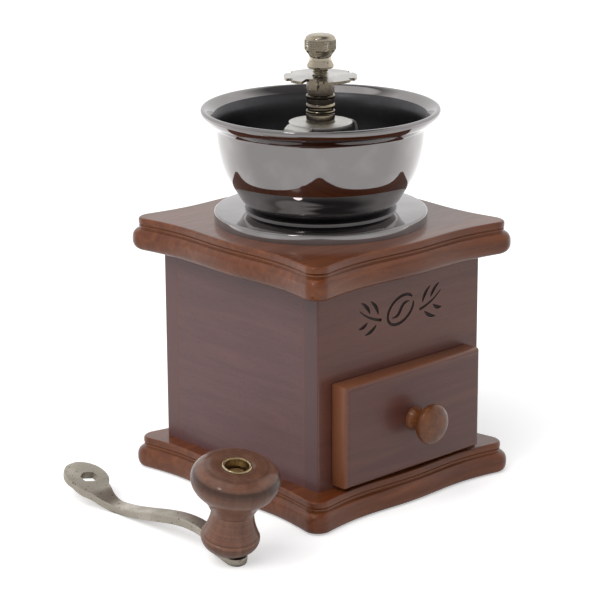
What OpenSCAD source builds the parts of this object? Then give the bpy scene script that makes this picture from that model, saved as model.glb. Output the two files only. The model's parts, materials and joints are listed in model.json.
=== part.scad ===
// Hand burr coffee grinder: wooden box with a drawer, open metal hopper with a conical
// burr mill, and a crank that lies beside it. Millimetres, +Z up, drawer towards -Y.
// Origin: centre of the box on the standing surface, under the mill shaft.

/* [Box] */
// Width of the box between its side faces
box_w = 100; // [90:1:120]
// Depth of the box between its front and back faces
box_d = 103.5; // [94:0.5:124]
// Height of the boards between the two moulded plates
box_h = 91; // [84:1:110]
// Thickness of the front and back boards
front_t = 9; // [7:0.5:11]
// Thickness of the side boards
side_t = 8; // [6:0.5:10]

/* [Moulded plates] */
// Thickness of each moulded plate
plate_t = 14.8; // [13:0.2:18]
// Overhang of the upper tier past the box
tier_overhang = 8.3; // [6:0.1:10]
// Overhang of the lower bead past the upper tier
bead_overhang = 2.1; // [1:0.1:3]
// Depth of the waves along each edge
wave_depth = 1.4; // [0:0.1:3]
// Thickness of the soft pad under the base
pad_t = 0.8; // [0.5:0.1:1.5]

/* [Drawer] */
// Width of the drawer front
drawer_w = 84; // [70:1:84]
// Height of the drawer front
drawer_h = 46.9; // [36:0.1:48]
// Thickness of the drawer front
drawer_front_t = 9.4; // [7:0.1:12]
// Length of the drawer box behind the front
drawer_len = 86; // [60:1:86]
// Thickness of the drawer sides and back
drawer_side_t = 5; // [4:0.5:6]
// Diameter of the head of the drawer knob
drawer_knob_d = 18.2; // [14:0.2:22]

/* [Hopper] */
// Radius of the collar that covers the hole in the top plate
collar_r = 48.4; // [44:0.1:50]
// Height of the collar's edge
collar_h = 4.6; // [3:0.1:6]
// Largest radius of the bowl at its lip
lip_r = 54; // [50:0.1:57]
// Height of the bowl's lip above the top plate
lip_z = 51.4; // [46:0.1:54]
// Thickness of the bowl's sheet metal
sheet_t = 1.2; // [0.8:0.1:2]

/* [Mill] */
// Radius of the shaft
shaft_r = 4; // [3.5:0.1:4.5]
// Radius of the threaded end of the shaft
thread_r = 3.6; // [3:0.1:3.8]
// Pitch of the thread
thread_pitch = 1.25; // [1:0.05:1.5]
// Running clearance between the shaft and its bores, on the radius
running_gap = 0.05; // [0.02:0.01:0.1]
// Radius of the round bush that guides the shaft
bush_r = 6.45; // [6:0.05:7]
// Radius of the notched lock disc
disc_r = 16.5; // [14:0.1:18]
// Number of notches round the lock disc
disc_notches = 6; // [4:1:16]
// Angle about the shaft of the bridge's first leg, in degrees
bridge_turn = 184; // [0:1:359]

/* [Crank] */
// Distance between the shaft hole and the knob axis
crank_len = 96.6; // [80:0.1:110]
// Radius of the crank's hub eye
hub_r = 9.3; // [8.5:0.1:12]
// Width of the crank's bar
bar_w = 7; // [6:0.1:10]
// Thickness of the crank's bar at its ends
bar_t = 3.5; // [3:0.1:4]
// Across-flats size of the hexagonal hole in the hub eye
hub_hex = 7.4; // [7:0.1:8]
// Radius of the wooden knob at its head
knob_r = 19; // [16:0.1:21]
// Height of the wooden knob
knob_h = 41.2; // [36:0.1:46]
// Place of the knob's foot beside the box, across the box
crank_x = -104.9; // [-116:0.1:-94]
// Place of the knob's foot beside the box, along the box
crank_y = -55.6; // [-66:0.1:-46]
// Tilt of the crank as it lies, raised towards its hub, in degrees
crank_tilt = 12.1; // [12:0.1:12.2]
// Roll of the crank as it lies, in degrees
crank_roll = -3.4; // [-3.6:0.1:-3.2]

/* [Hidden] */

// colours
walnut = "#6b4436";
walnut_warm = "#8a4f28";
plywood = "#b58a5c";
felt = "#2b2624";
black_nickel = "#6d6468";
dark_iron = "#4a4748";
aged_nickel = "#968a78";
steel = "#8d8a86";
brass_gold = "#a8854a";

// heights
box_z = pad_t + plate_t - 0.8;
top_z = box_z + box_h;
deck_z = top_z + plate_t;
eps = 0.01;

// smooth step from 0 to 1
function ease(t) = let (u = min(1, max(0, t))) u * u * (3 - 2 * u);

// ---- moulded plates ----

// profile of the moulding: height as a share of the thickness, and outset from the upper tier
moulding = [
    [0.300, 2.10], [0.435, 2.00], [0.530, 1.60], [0.600, 0.95], [0.640, 0.25], [0.662, -0.40],
    [0.690, -0.40], [0.705, -0.15], [0.750, -0.15], [0.765, -0.60], [0.790, -0.60], [0.805, -0.08],
    [0.825, 0.00], [0.925, 0.00], [0.965, -0.18], [0.988, -0.50], [1.000, -1.10]
];
// lower edge of the bead: rounded where it can be seen from below, squarer where it stands
round_foot = [[0.000, 0.10], [0.015, 0.50], [0.065, 1.30], [0.174, 1.95]];
square_foot = [[0.000, 0.95], [0.020, 1.30], [0.070, 1.70], [0.174, 2.02]];
side_steps = 24;
corner_steps = 6;
// distance from the corner of the outline at which its sides run into the corner's arc
corner_start = 7.4;
// how far the corners of the outline swing out beyond its sides
corner_flare = 1.6;
// direction in which the sides run into the corner, outward of their own line
corner_turn = 11.3;
// outset of the bead in the profile above, before it is scaled to bead_overhang
profile_bead = 2.1;

// one edge of the outline, from corner to corner, then the corner's arc, which leaves it smoothly
function edge_points(ex, ey, wave, turn) =
    let (reach = ex - corner_start)
    let (end_in = wave * pow(sin(180 * corner_start / ex), 2))
    let (arc_r = (corner_start - end_in) / (sqrt(2) * sin(45 + corner_turn)))
    let (arc_x = reach + arc_r * sin(corner_turn))
    let (arc_y = end_in - ey + arc_r * cos(corner_turn))
    [
        for (i = [0 : side_steps])
            let (u = -1 + 2 * i / side_steps, t = u * reach)
            let (y = -ey + corner_flare * (1 - pow(abs(u), 5)) + wave * pow(sin(180 * t / ex), 2))
            [t * cos(turn) - y * sin(turn), t * sin(turn) + y * cos(turn)],
        for (k = [1 : corner_steps - 1])
            let (a = -90 - corner_turn + (90 + 2 * corner_turn) * k / corner_steps)
            let (x = arc_x + arc_r * cos(a), y = arc_y + arc_r * sin(a))
            [x * cos(turn) - y * sin(turn), x * sin(turn) + y * cos(turn)]
    ];
function plate_outline(ex, ey, wave) = concat(
    edge_points(ex, ey, wave, 0), edge_points(ey, ex, wave, 90),
    edge_points(ex, ey, wave, 180), edge_points(ey, ex, wave, 270)
);

module moulded_plate(z, thickness, foot) {
    ex = box_w / 2 + tier_overhang + corner_flare;
    ey = box_d / 2 + tier_overhang + corner_flare;
    rings = [
        for (p = concat(foot, moulding))
            let (out = p[1] > 0 ? p[1] * bead_overhang / profile_bead : p[1])
            let (outline = plate_outline(ex + out, ey + out, wave_depth))
            [for (q = outline) [q[0], q[1], z + p[0] * thickness]]
    ];
    n = len(rings[0]);
    m = len(rings);
    points = [for (ring = rings) for (q = ring) q];
    sides = [
        for (j = [0 : m - 2])
            for (i = [0 : n - 1])
                let (a = j * n + i, b = j * n + (i + 1) % n)
                for (tri = [[a, a + n, b], [b, a + n, b + n]]) tri
    ];
    floor_face = [for (i = [0 : n - 1]) i];
    roof_face = [for (i = [n - 1 : -1 : 0]) (m - 1) * n + i];
    polyhedron(points, concat(sides, [floor_face], [roof_face]));
}

housing_r = 22;
housing_hole_r = housing_r + 1;
fixing_r = 26.5;
fixing_screw_r = 1.7;

module at_fixings(start, count) {
    for (k = [0 : count - 1])
        rotate([0, 0, start + 360 * k / count]) translate([fixing_r, 0, 0]) children();
}

// wood screws and dowels that join the plates to the side boards
joint_x = box_w / 2 - side_t / 2;
joint_y = 32;
wood_screw_len = 33;
wood_screw_r = 1.9;
wood_screw_head_r = 3.8;
dowel_len = 21;
dowel_r = 2.5;
dowel_z = top_z - 12;
hole_gap = 0.05;
hole_spare = 1;

module at_box_joints() {
    for (sx = [-1, 1])
        for (sy = [-1, 1])
            translate([sx * joint_x, sy * joint_y, 0]) children();
}

module countersunk_screw(length, r, head_r) {
    cylinder(h = length, r = r, $fn = 24);
    cylinder(h = head_r - r, r1 = head_r, r2 = r, $fn = 24);
}

module base_screw_holes() {
    hole_r = wood_screw_r + hole_gap;
    sink_r = wood_screw_head_r + hole_gap;
    at_box_joints()
        translate([0, 0, pad_t - eps]) countersunk_screw(wood_screw_len + hole_spare, hole_r, sink_r);
}

module dowel_holes() {
    at_box_joints()
        translate([0, 0, dowel_z - hole_gap])
            cylinder(h = dowel_len + hole_spare, r = dowel_r + hole_gap, $fn = 24);
}

module base_plate() {
    color(walnut)
        difference() {
            moulded_plate(pad_t, box_z - pad_t, square_foot);
            base_screw_holes();
        }
}

module base_pad() {
    pad_inset = 3;
    pad_out = 2 * (tier_overhang - pad_inset);
    color(felt)
        translate([0, 0, pad_t / 2]) cube([box_w + pad_out, box_d + pad_out, pad_t], true);
}

module top_plate() {
    color(walnut)
        difference() {
            moulded_plate(top_z, plate_t, round_foot);
            translate([0, 0, top_z - 1]) cylinder(h = plate_t + 2, r = housing_hole_r, $fn = 96);
            dowel_holes();
            at_fixings(bridge_turn, 4)
                translate([0, 0, top_z + 5]) cylinder(h = plate_t, r = fixing_screw_r + hole_gap, $fn = 24);
        }
}

// ---- box ----

opening_w = 76.4;
opening_top = 60;

module board(w, d, h) {
    translate([-w / 2, -d / 2, 0]) cube([w, d, h]);
}

module front_board() {
    color(walnut)
        difference() {
            translate([0, -box_d / 2 + front_t / 2, box_z]) board(box_w, front_t, box_h);
            translate([0, -box_d / 2 + front_t / 2, box_z - 1])
                board(opening_w, front_t + 2, opening_top - box_z + 1);
        }
}

module back_board() {
    color(walnut)
        translate([0, box_d / 2 - front_t / 2, box_z]) board(box_w, front_t, box_h);
}

module side_board(sign) {
    color(walnut)
        difference() {
            translate([sign * joint_x, 0, box_z]) board(side_t, box_d - 2 * front_t, box_h);
            base_screw_holes();
            dowel_holes();
        }
}
module left_side_board() side_board(-1);
module right_side_board() side_board(1);

drawer_box_w = 75.4;
guide_h = 14;

module drawer_guide(sign) {
    guide_w = box_w / 2 - side_t - opening_w / 2;
    color(plywood)
        translate([sign * (opening_w / 2 + guide_w / 2), 0, box_z])
            board(guide_w, box_d - 2 * front_t, guide_h);
}
module left_drawer_guide() drawer_guide(-1);
module right_drawer_guide() drawer_guide(1);

module base_screws() {
    color(steel)
        at_box_joints()
            translate([0, 0, pad_t]) countersunk_screw(wood_screw_len, wood_screw_r, wood_screw_head_r);
}

module top_dowels() {
    color(plywood)
        at_box_joints()
            translate([0, 0, dowel_z]) cylinder(h = dowel_len, r = dowel_r, $fn = 24);
}

// ---- hopper ----

collar_z = deck_z + collar_h;
bowl_foot_z = collar_z + 0.4;
throat_r = housing_r + 0.4;

// screws through the bowl, its collar and the mill housing
module fixing_holes() {
    at_fixings(bridge_turn, 4)
        translate([0, 0, deck_z - 1]) cylinder(h = 12, r = fixing_screw_r + 0.2, $fn = 24);
}

module bowl_collar() {
    color(black_nickel)
        difference() {
            rotate_extrude($fn = 128)
                polygon([
                    [collar_r - sheet_t, deck_z], [collar_r, deck_z], [collar_r, collar_z - 1.0],
                    [collar_r - 0.3, collar_z - 0.35], [collar_r - 1.0, collar_z], [34.3, bowl_foot_z],
                    [throat_r, bowl_foot_z], [throat_r, bowl_foot_z - sheet_t],
                    [34.3, bowl_foot_z - sheet_t], [collar_r - sheet_t, collar_z - sheet_t]
                ]);
            fixing_holes();
        }
}

// outer wall of the bowl: radius and height above the deck
bowl_wall = [
    [34.3, 5.0], [34.3, 5.7], [33.2, 6.2], [32.1, 6.6], [35.4, 9.2], [36.9, 11.3], [38.4, 13.9],
    [40.7, 17.4], [43.1, 22.0], [44.7, 26.6], [45.8, 31.2], [46.6, 35.8], [47.0, 40.3], [47.2, 42.2],
    [47.7, 43.6], [49.2, 44.9], [51.6, 46.6], [53.3, 48.5], [53.9, 49.4], [54.0, 50.2], [53.7, 51.0],
    [53.0, 51.4]
];

// inner wall, from the lip down to the floor
bowl_inside = [
    [51.8, 51.2], [49.8, 49.8], [47.8, 47.6], [46.5, 45.2], [46.0, 43.0], [45.7, 40.2], [45.3, 35.8],
    [44.5, 31.2], [43.4, 26.8], [41.7, 22.4], [39.3, 17.9], [37.0, 14.4], [35.5, 11.8], [34.2, 10.0],
    [31.2, 7.4], [30.9, 6.2], [throat_r, 6.2], [throat_r, 5.0]
];

// lip of the two walls above, before they are scaled to lip_r and lip_z
profile_lip_r = 54.0;
profile_lip_z = 51.4;
// the foot below this height keeps its size, because the fixings sit there
bowl_foot_h = 7;

module hopper_bowl() {
    scale_r = lip_r / profile_lip_r;
    scale_z = lip_z / profile_lip_z;
    color(black_nickel)
        difference() {
            rotate_extrude($fn = 128)
                polygon([
                    for (p = concat(bowl_wall, bowl_inside))
                        let (foot = p[1] <= bowl_foot_h)
                        [foot ? p[0] : p[0] * scale_r, deck_z + (foot ? p[1] : p[1] * scale_z)]
                ]);
            fixing_holes();
        }
}

// ---- mill housing and fixed burr ----

housing_floor_z = top_z - 22;
flange_z = deck_z + 6.2;
flange_t = 2.6;
flange_r = 30.4;
burr_r = 18.4;
burr_top_z = top_z + 4;
burr_h = 20;
burr_bottom_z = burr_top_z - burr_h;

module mill_housing() {
    color(dark_iron)
        difference() {
            union() {
                translate([0, 0, flange_z]) cylinder(h = flange_t, r = flange_r, $fn = 96);
                translate([0, 0, housing_floor_z])
                    cylinder(h = flange_z + 1 - housing_floor_z, r = housing_r, $fn = 96);
            }
            translate([0, 0, burr_top_z - eps])
                cylinder(h = flange_z + flange_t - burr_top_z + 1, r1 = 15.2, r2 = 21.5, $fn = 96);
            translate([0, 0, housing_floor_z - 1])
                cylinder(h = burr_top_z - housing_floor_z + 1, r = burr_r, $fn = 96);
            fixing_holes();
            for (k = [0 : 2])
                rotate([0, 0, 30 + 120 * k])
                    translate([burr_r - 2, 0, burr_bottom_z + 6])
                        rotate([0, 90, 0]) cylinder(h = 8, r = 1.5, $fn = 24);
        }
}

module pan_screw(length, r, head_r, head_h) {
    translate([0, 0, -length]) cylinder(h = length, r = r, $fn = 24);
    difference() {
        cylinder(h = head_h, r = head_r, $fn = 32);
        translate([-head_r, -0.5, head_h - 0.9]) cube([2 * head_r, 1, 1]);
    }
}

module housing_screws() {
    color(steel)
        for (k = [0, 1])
            rotate([0, 0, bridge_turn + 90 + 180 * k])
                translate([fixing_r, 0, flange_z + flange_t]) pan_screw(15, fixing_screw_r, 3.2, 2);
}

// bore of the fixed burr and flank of the moving burr keep this gap between them
grind_gap = 0.55;

module outer_burr() {
    color(dark_iron)
        difference() {
            translate([0, 0, burr_bottom_z]) cylinder(h = burr_h, r = burr_r - 0.03, $fn = 96);
            translate([0, 0, burr_bottom_z - eps])
                cylinder(h = 10 + 2 * eps, r1 = 15.0 + grind_gap, r2 = 13.0 + grind_gap, $fn = 96);
            translate([0, 0, burr_bottom_z + 10])
                cylinder(h = burr_h - 10 + eps, r1 = 13.0 + grind_gap, r2 = 15.2, $fn = 96);
            for (k = [0 : 9])
                rotate([0, 0, 36 * k])
                    translate([14.6, 0, burr_bottom_z + 10])
                        rotate([20, 0, 0]) cylinder(h = burr_h, r = 1.6, $fn = 24);
        }
}

module outer_burr_screws() {
    color(steel)
        for (k = [0 : 2])
            rotate([0, 0, 30 + 120 * k])
                translate([burr_r, 0, burr_bottom_z + 6])
                    rotate([0, 90, 0]) cylinder(h = 3.4, r = 1.45, $fn = 24);
}

// ---- bridge, bush and adjusting parts ----

bridge_z = deck_z + 44.6;
bridge_t = 1.5;
bridge_r = 14.3;
leg_w = 14;
leg_in = 15.5;
leg_out = 20.5;

// one leg of the bridge, seen from the side, from the plate down to its foot
module bridge_leg() {
    foot_z = flange_z + flange_t;
    rotate([90, 0, 0])
        linear_extrude(height = leg_w, center = true)
            polygon([
                [leg_in - 4, bridge_z], [leg_in - 1.2, bridge_z - 0.3], [leg_in + 0.6, bridge_z - 1.6],
                [leg_in + 1.3, bridge_z - 3.4], [leg_out, foot_z + 3.2], [leg_out + 0.9, foot_z + 1.9],
                [leg_out + 2, foot_z + bridge_t], [fixing_r + 3.6, foot_z + bridge_t],
                [fixing_r + 3.6, foot_z], [leg_out + 1, foot_z], [leg_out - 0.6, foot_z + 0.9],
                [leg_out - 1.5, foot_z + 2.9], [leg_in - 0.2, bridge_z - 3.4],
                [leg_in - 0.8, bridge_z - 1.9], [leg_in - 2, bridge_z - bridge_t],
                [leg_in - 4, bridge_z - bridge_t]
            ]);
}

module bridge_bracket() {
    color(aged_nickel)
        rotate([0, 0, bridge_turn])
            difference() {
                union() {
                    translate([0, 0, bridge_z - bridge_t]) cylinder(h = bridge_t, r = bridge_r, $fn = 96);
                    bridge_leg();
                    rotate([0, 0, 180]) bridge_leg();
                }
                translate([0, 0, bridge_z - 4]) cylinder(h = 8, r = 5.2, $fn = 48);
                for (k = [0, 1])
                    rotate([0, 0, 180 * k])
                        translate([fixing_r, 0, flange_z])
                            cylinder(h = 8, r = fixing_screw_r + 0.2, $fn = 24);
            }
}

module bridge_screws() {
    color(steel)
        for (k = [0, 1])
            rotate([0, 0, bridge_turn + 180 * k])
                translate([fixing_r, 0, flange_z + flange_t + bridge_t])
                    pan_screw(16.5, fixing_screw_r, 3.2, 2);
}

bush_top_z = bridge_z + 3.9;

module shaft_bush() {
    color(aged_nickel)
        difference() {
            rotate_extrude($fn = 96)
                polygon([
                    [0, bridge_z - 8], [5.2, bridge_z - 8], [5.2, bridge_z], [bush_r, bridge_z],
                    [bush_r, bush_top_z - 0.4], [bush_r - 0.4, bush_top_z], [0, bush_top_z]
                ]);
            translate([0, 0, bridge_z - 9]) cylinder(h = 16, r = shaft_r + running_gap, $fn = 96);
        }
}

washer_z = bush_top_z + 0.1;
washer_t = 1.6;

module thrust_washer() {
    color(aged_nickel)
        difference() {
            rotate_extrude($fn = 96)
                polygon([
                    [0, washer_z], [bush_r - 0.5, washer_z], [bush_r + 0.1, washer_z + 0.4],
                    [bush_r + 0.1, washer_z + washer_t - 0.4], [bush_r - 0.5, washer_z + washer_t],
                    [0, washer_z + washer_t]
                ]);
            translate([0, 0, washer_z - 1]) cylinder(h = 4, r = shaft_r + running_gap, $fn = 96);
        }
}

nut_z = washer_z + washer_t;
nut_h = 14.1;

// turned sleeve with a bead low down and a ring above it
module adjusting_nut() {
    color(aged_nickel)
        difference() {
            translate([0, 0, nut_z])
                rotate_extrude($fn = 96)
                    polygon([
                        [0, 0], [5.9, 0], [5.9, 0.6], [6.35, 0.8], [6.6, 1.4], [6.6, 2.2], [6.35, 2.8],
                        [6.1, 3.1], [6.1, 5.2], [6.4, 5.5], [6.5, 6.0], [6.5, 6.5], [6.2, 7.0], [5.8, 7.2],
                        [5.8, 7.6], [6.3, 8.0], [6.3, nut_h - 0.4], [5.9, nut_h], [0, nut_h]
                    ]);
            translate([0, 0, nut_z - 1]) cylinder(h = nut_h + 2, r = thread_r + running_gap, $fn = 96);
        }
}

disc_z = nut_z + nut_h;
disc_t = 1.3;
tab_angle = 207.5;
tab_w = 3.8;
tab_r = 9.6;
tab_drop = 5;
notch_depth = 2;
notch_r = 1.6;
first_notch = 48;

// notched disc with one tongue bent down beside the sleeve
module lock_disc() {
    color(aged_nickel)
        union() {
            difference() {
                translate([0, 0, disc_z]) cylinder(h = disc_t, r = disc_r, $fn = 128);
                for (k = [0 : disc_notches - 1])
                    rotate([0, 0, first_notch + 360 * k / disc_notches])
                        translate([disc_r + notch_r - notch_depth, 0, disc_z - 1])
                            union() {
                                cylinder(h = disc_t + 2, r = notch_r, $fn = 32);
                                translate([0, -notch_r - 0.35, 0]) cube([4, 2 * notch_r + 0.7, disc_t + 2]);
                            }
                rotate([0, 0, tab_angle])
                    translate([tab_r, -tab_w / 2 - 1.2, disc_z - 1]) cube([12, tab_w + 2.4, disc_t + 2]);
                translate([0, 0, disc_z - 1]) cylinder(h = disc_t + 2, r = thread_r + running_gap, $fn = 96);
            }
            rotate([0, 0, tab_angle])
                translate([tab_r - disc_t, -tab_w / 2, disc_z + disc_t - tab_drop])
                    cube([disc_t + 0.4, tab_w, tab_drop]);
        }
}

spring_top_z = bridge_z - 8;
seat_z = spring_top_z - 15;
seat_t = 1.6;
spring_turns = 5;
spring_wire = 0.9;

module spring_seat() {
    color(steel)
        difference() {
            translate([0, 0, seat_z]) cylinder(h = seat_t, r = 7.6, $fn = 64);
            translate([0, 0, seat_z - 1]) cylinder(h = seat_t + 2, r = shaft_r + running_gap, $fn = 96);
        }
}

// compression spring drawn as closed rings joined by a thin sleeve, open round the shaft
module adjusting_spring() {
    low_z = seat_z + seat_t + spring_wire;
    high_z = spring_top_z - spring_wire;
    color(steel)
        union() {
            for (k = [0 : spring_turns - 1])
                translate([0, 0, low_z + (high_z - low_z) * k / (spring_turns - 1)])
                    rotate_extrude($fn = 48) translate([6.2, 0]) circle(r = spring_wire, $fn = 16);
            difference() {
                translate([0, 0, low_z]) cylinder(h = high_z - low_z, r = 6.4, $fn = 48);
                translate([0, 0, low_z - 1]) cylinder(h = high_z - low_z + 2, r = 5.9, $fn = 48);
            }
        }
}

// ---- shaft and moving burr ----

shaft_low_z = burr_bottom_z - 9;
thread_z = bush_top_z + 0.3;
thread_top_z = disc_z + disc_t + 15;
shoulder_z = seat_z - 2.4;

// ring-shaped teeth stand for the thread
module thread_rings(low, high) {
    count = floor((high - low) / thread_pitch);
    depth = 0.45;
    rotate_extrude($fn = 64)
        polygon(concat(
            [[0, low], [thread_r - depth, low]],
            [
                for (k = [0 : count - 1])
                    for (p = [[0, 0.1], [depth, 0.4], [depth, 0.6], [0, 0.9]])
                        [thread_r - depth + p[0], low + (k + p[1]) * thread_pitch]
            ],
            [[thread_r - depth, high], [0, high]]
        ));
}

module burr_shaft() {
    color(steel)
        union() {
            translate([0, 0, shaft_low_z]) cylinder(h = thread_z - shaft_low_z, r = shaft_r, $fn = 96);
            translate([0, 0, shoulder_z]) cylinder(h = seat_z - shoulder_z, r = 6, $fn = 64);
            translate([0, 0, thread_z - eps]) thread_rings(0, thread_top_z - thread_z);
        }
}

cone_z = burr_bottom_z;
cone_h = 19;

module inner_burr() {
    color(dark_iron)
        difference() {
            union() {
                translate([0, 0, cone_z]) cylinder(h = 10, r1 = 15, r2 = 13, $fn = 96);
                translate([0, 0, cone_z + 10 - eps]) cylinder(h = cone_h - 10, r1 = 13, r2 = 7.5, $fn = 96);
            }
            translate([0, 0, cone_z - 1]) cylinder(h = cone_h + 2, r = shaft_r, $fn = 96);
            for (k = [0 : 5])
                rotate([0, 0, 60 * k])
                    translate([13.4, 0, cone_z + 8])
                        rotate([-28, -30, 0]) cylinder(h = 24, r = 2.3, $fn = 24);
            for (k = [0 : 17])
                rotate([0, 0, 20 * k])
                    translate([15.2, 0, cone_z - 2])
                        rotate([-25, -11, 0]) cylinder(h = 14, r = 0.75, $fn = 13);
        }
}

module burr_washer() {
    color(steel)
        difference() {
            translate([0, 0, cone_z - 1.5]) cylinder(h = 1.5, r = 9, $fn = 64);
            translate([0, 0, cone_z - 3]) cylinder(h = 4, r = shaft_r, $fn = 96);
        }
}

module burr_nut() {
    color(steel)
        difference() {
            translate([0, 0, cone_z - 7]) cylinder(h = 5.5, r = 7.5, $fn = 6);
            translate([0, 0, cone_z - 8]) cylinder(h = 8, r = shaft_r, $fn = 96);
        }
}

// ---- cap nut ----

cap_z = disc_z + disc_t + 3.4;
cap_h = 15.5;
band_r = 7.12;
band_low = 8.6;
band_high = 12.9;
knurl_count = 40;

module cap_nut() {
    dome_steps = 8;
    color(aged_nickel)
        difference() {
            translate([0, 0, cap_z])
                rotate_extrude($fn = 96)
                    polygon(concat(
                        [
                            [0, 0], [5.3, 0], [5.9, 0.4], [6.1, 1.1], [5.9, 1.9], [5.3, 2.9], [5.0, 4.0],
                            [5.05, 5.2], [5.4, 6.2], [6.1, 7.1], [6.6, 7.6], [band_r, band_low]
                        ],
                        [
                            for (k = [0 : dome_steps])
                                let (a = 90 * k / dome_steps)
                                [
                                    (band_r - 0.3) * pow(cos(a), 0.55),
                                    band_high + (cap_h - band_high) * sin(a)
                                ]
                        ]
                    ));
            translate([0, 0, cap_z - 1]) cylinder(h = 13, r = thread_r + running_gap, $fn = 96);
            for (k = [0 : knurl_count - 1])
                rotate([0, 0, 360 * k / knurl_count])
                    translate([band_r + 0.1, 0, cap_z + band_low + 0.3])
                        cylinder(h = band_high - band_low - 0.6, r = 0.3, $fn = 4);
        }
}

// ---- crank ----

// height of the crank's frame so that its lowest point rests on the floor
crank_lift = 5.95;
washer_gap = 0.5;
jog_rise = 2.4;
arm_drop = 21.8;
hub_rise = 3.95;
// how much further the hub reaches beyond its hole than to either side
hub_long = 1.27;
// how far the oval of the hub lies beyond the hole
hub_shift = 2;
// how far the bar swings aside before it meets the hub
bar_swing = 2.2;

module place_crank() {
    translate([crank_x, crank_y, crank_lift])
        rotate([crank_tilt, 0, 0])
            rotate([0, crank_roll, 0])
                children();
}

// height of the bar's top face at distance s from the knob axis
function bar_top(s) = -washer_gap + jog_rise * ease((s - 7) / 9) - arm_drop * ease((s - 16) / 70)
    + hub_rise * ease((s - 72) / 14);
function bar_thick(s) = bar_t + (s > 8 && s < 80 ? 1.1 * pow(sin(180 * (s - 8) / 72), 2) : 0);

bar_steps = 40;
tip_s = -9.5;

module bar_profile() {
    end_s = crank_len + hub_shift + hub_r * hub_long;
    polygon(concat(
        [for (i = [0 : bar_steps]) let (s = tip_s + (end_s - tip_s) * i / bar_steps) [s, bar_top(s)]],
        [
            for (i = [bar_steps : -1 : 0])
                let (s = tip_s + (end_s - tip_s) * i / bar_steps)
                [s, bar_top(s) - bar_thick(s)]
        ]
    ));
}

// plan of the crank: narrow bar that widens to an eye at each end
eye_r = 5;
eye_s = -4.5;

function half_width(s) = bar_w / 2
    + (eye_r - bar_w / 2) * (1 - ease((s - 6) / 8))
    + (hub_r - 0.3 - bar_w / 2) * ease((s - 74) / 24);
function bar_centre(s) = -bar_swing * ease((s - 70) / 12) * (1 - ease((s - 88) / 11));

module bar_plan() {
    steps = 36;
    last_s = crank_len + hub_shift - 1;
    run = [for (i = [0 : steps]) eye_s + (last_s - eye_s) * i / steps];
    union() {
        translate([0, crank_len + hub_shift]) scale([1, hub_long]) circle(r = hub_r, $fn = 96);
        translate([0, eye_s]) circle(r = eye_r, $fn = 64);
        polygon(concat(
            [for (s = run) [bar_centre(s) + half_width(s), s]],
            [for (i = [steps : -1 : 0]) [bar_centre(run[i]) - half_width(run[i]), run[i]]]
        ));
    }
}

rivet_r = 2.5;

module crank_arm() {
    color(aged_nickel)
        place_crank()
            difference() {
                intersection() {
                    rotate([90, 0, 90])
                        linear_extrude(height = 2 * hub_r + 6, center = true) bar_profile();
                    translate([0, 0, -40]) linear_extrude(height = 60) bar_plan();
                }
                translate([0, crank_len, -30]) cylinder(h = 40, r = hub_hex / sqrt(3), $fn = 6);
                translate([0, 0, -30]) cylinder(h = 40, r = rivet_r, $fn = 48);
            }
}

// the recess in the knob's head, and the rivet's head just above its floor
recess_depth = 5;
recess_z = knob_h - recess_depth;
rivet_head_z = recess_z + 0.3;

module knob_rivet() {
    rivet_low_z = -washer_gap - bar_t;
    color(steel)
        place_crank()
            union() {
                translate([0, 0, rivet_low_z])
                    cylinder(h = rivet_head_z + 0.5 - rivet_low_z, r = rivet_r, $fn = 48);
                translate([0, 0, rivet_head_z])
                    rotate_extrude($fn = 48)
                        polygon([[0, 0], [4.1, 0], [4.1, 0.5], [3.4, 1.1], [2, 1.5], [0, 1.6]]);
            }
}

module knob_washer() {
    color(steel)
        place_crank()
            difference() {
                translate([0, 0, -washer_gap]) cylinder(h = washer_gap - 0.1, r = 5, $fn = 48);
                translate([0, 0, -2]) cylinder(h = 4, r = rivet_r, $fn = 48);
            }
}

// turned knob: radius and height, from its foot to the recess in its head
knob_profile = [
    [8.0, 0.1], [9.4, 0.9], [11.3, 2.6], [12.3, 4.4], [12.6, 5.9], [12.5, 6.9], [12.2, 7.3], [12.0, 7.5],
    [12.05, 7.8], [11.7, 8.6], [11.1, 10.0], [10.5, 11.6], [10.0, 13.2], [9.6, 14.8], [9.3, 16.4],
    [9.15, 17.8], [9.0, 18.5], [9.05, 18.7], [9.3, 18.9], [9.6, 19.6], [10.4, 21.2], [11.3, 22.8],
    [12.6, 24.8], [14.6, 27.1], [16.9, 29.4], [18.4, 31.8], [19.0, 34.4],
    [18.7, 36.4], [17.6, 38.3], [15.8, 39.8], [13.4, 40.8], [10.8, 41.2], [8.2, 41.1], [6.5, 40.7]
];

// size of the profile above, before it is scaled to knob_r and knob_h
profile_knob_r = 19;
profile_knob_h = 41.2;
recess_r = 5.6;

module crank_knob() {
    sr = knob_r / profile_knob_r;
    sz = knob_h / profile_knob_h;
    color(walnut)
        place_crank()
            difference() {
                rotate_extrude($fn = 96)
                    polygon(concat(
                        [[0, knob_profile[0][1]]],
                        [for (p = knob_profile) [p[0] * sr, p[1] > 1 ? p[1] * sz : p[1]]],
                        [[recess_r, 40.6 * sz], [recess_r, recess_z], [0, recess_z]]
                    ));
                translate([0, 0, -1]) cylinder(h = knob_h, r = rivet_r + running_gap, $fn = 48);
            }
}

module knob_eyelet() {
    rim_z = knob_h - 0.6;
    tube_r = recess_r - 0.03;
    color(brass_gold)
        place_crank()
            rotate_extrude($fn = 96)
                polygon([
                    [tube_r, rim_z - 3.8], [tube_r, rim_z + 0.03], [6.3, rim_z + 0.14], [6.35, rim_z + 0.4],
                    [5.9, rim_z + 0.8], [5.3, rim_z + 0.6], [5.1, rim_z], [5.1, rim_z - 3.8]
                ]);
}

// ---- drawer ----

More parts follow.
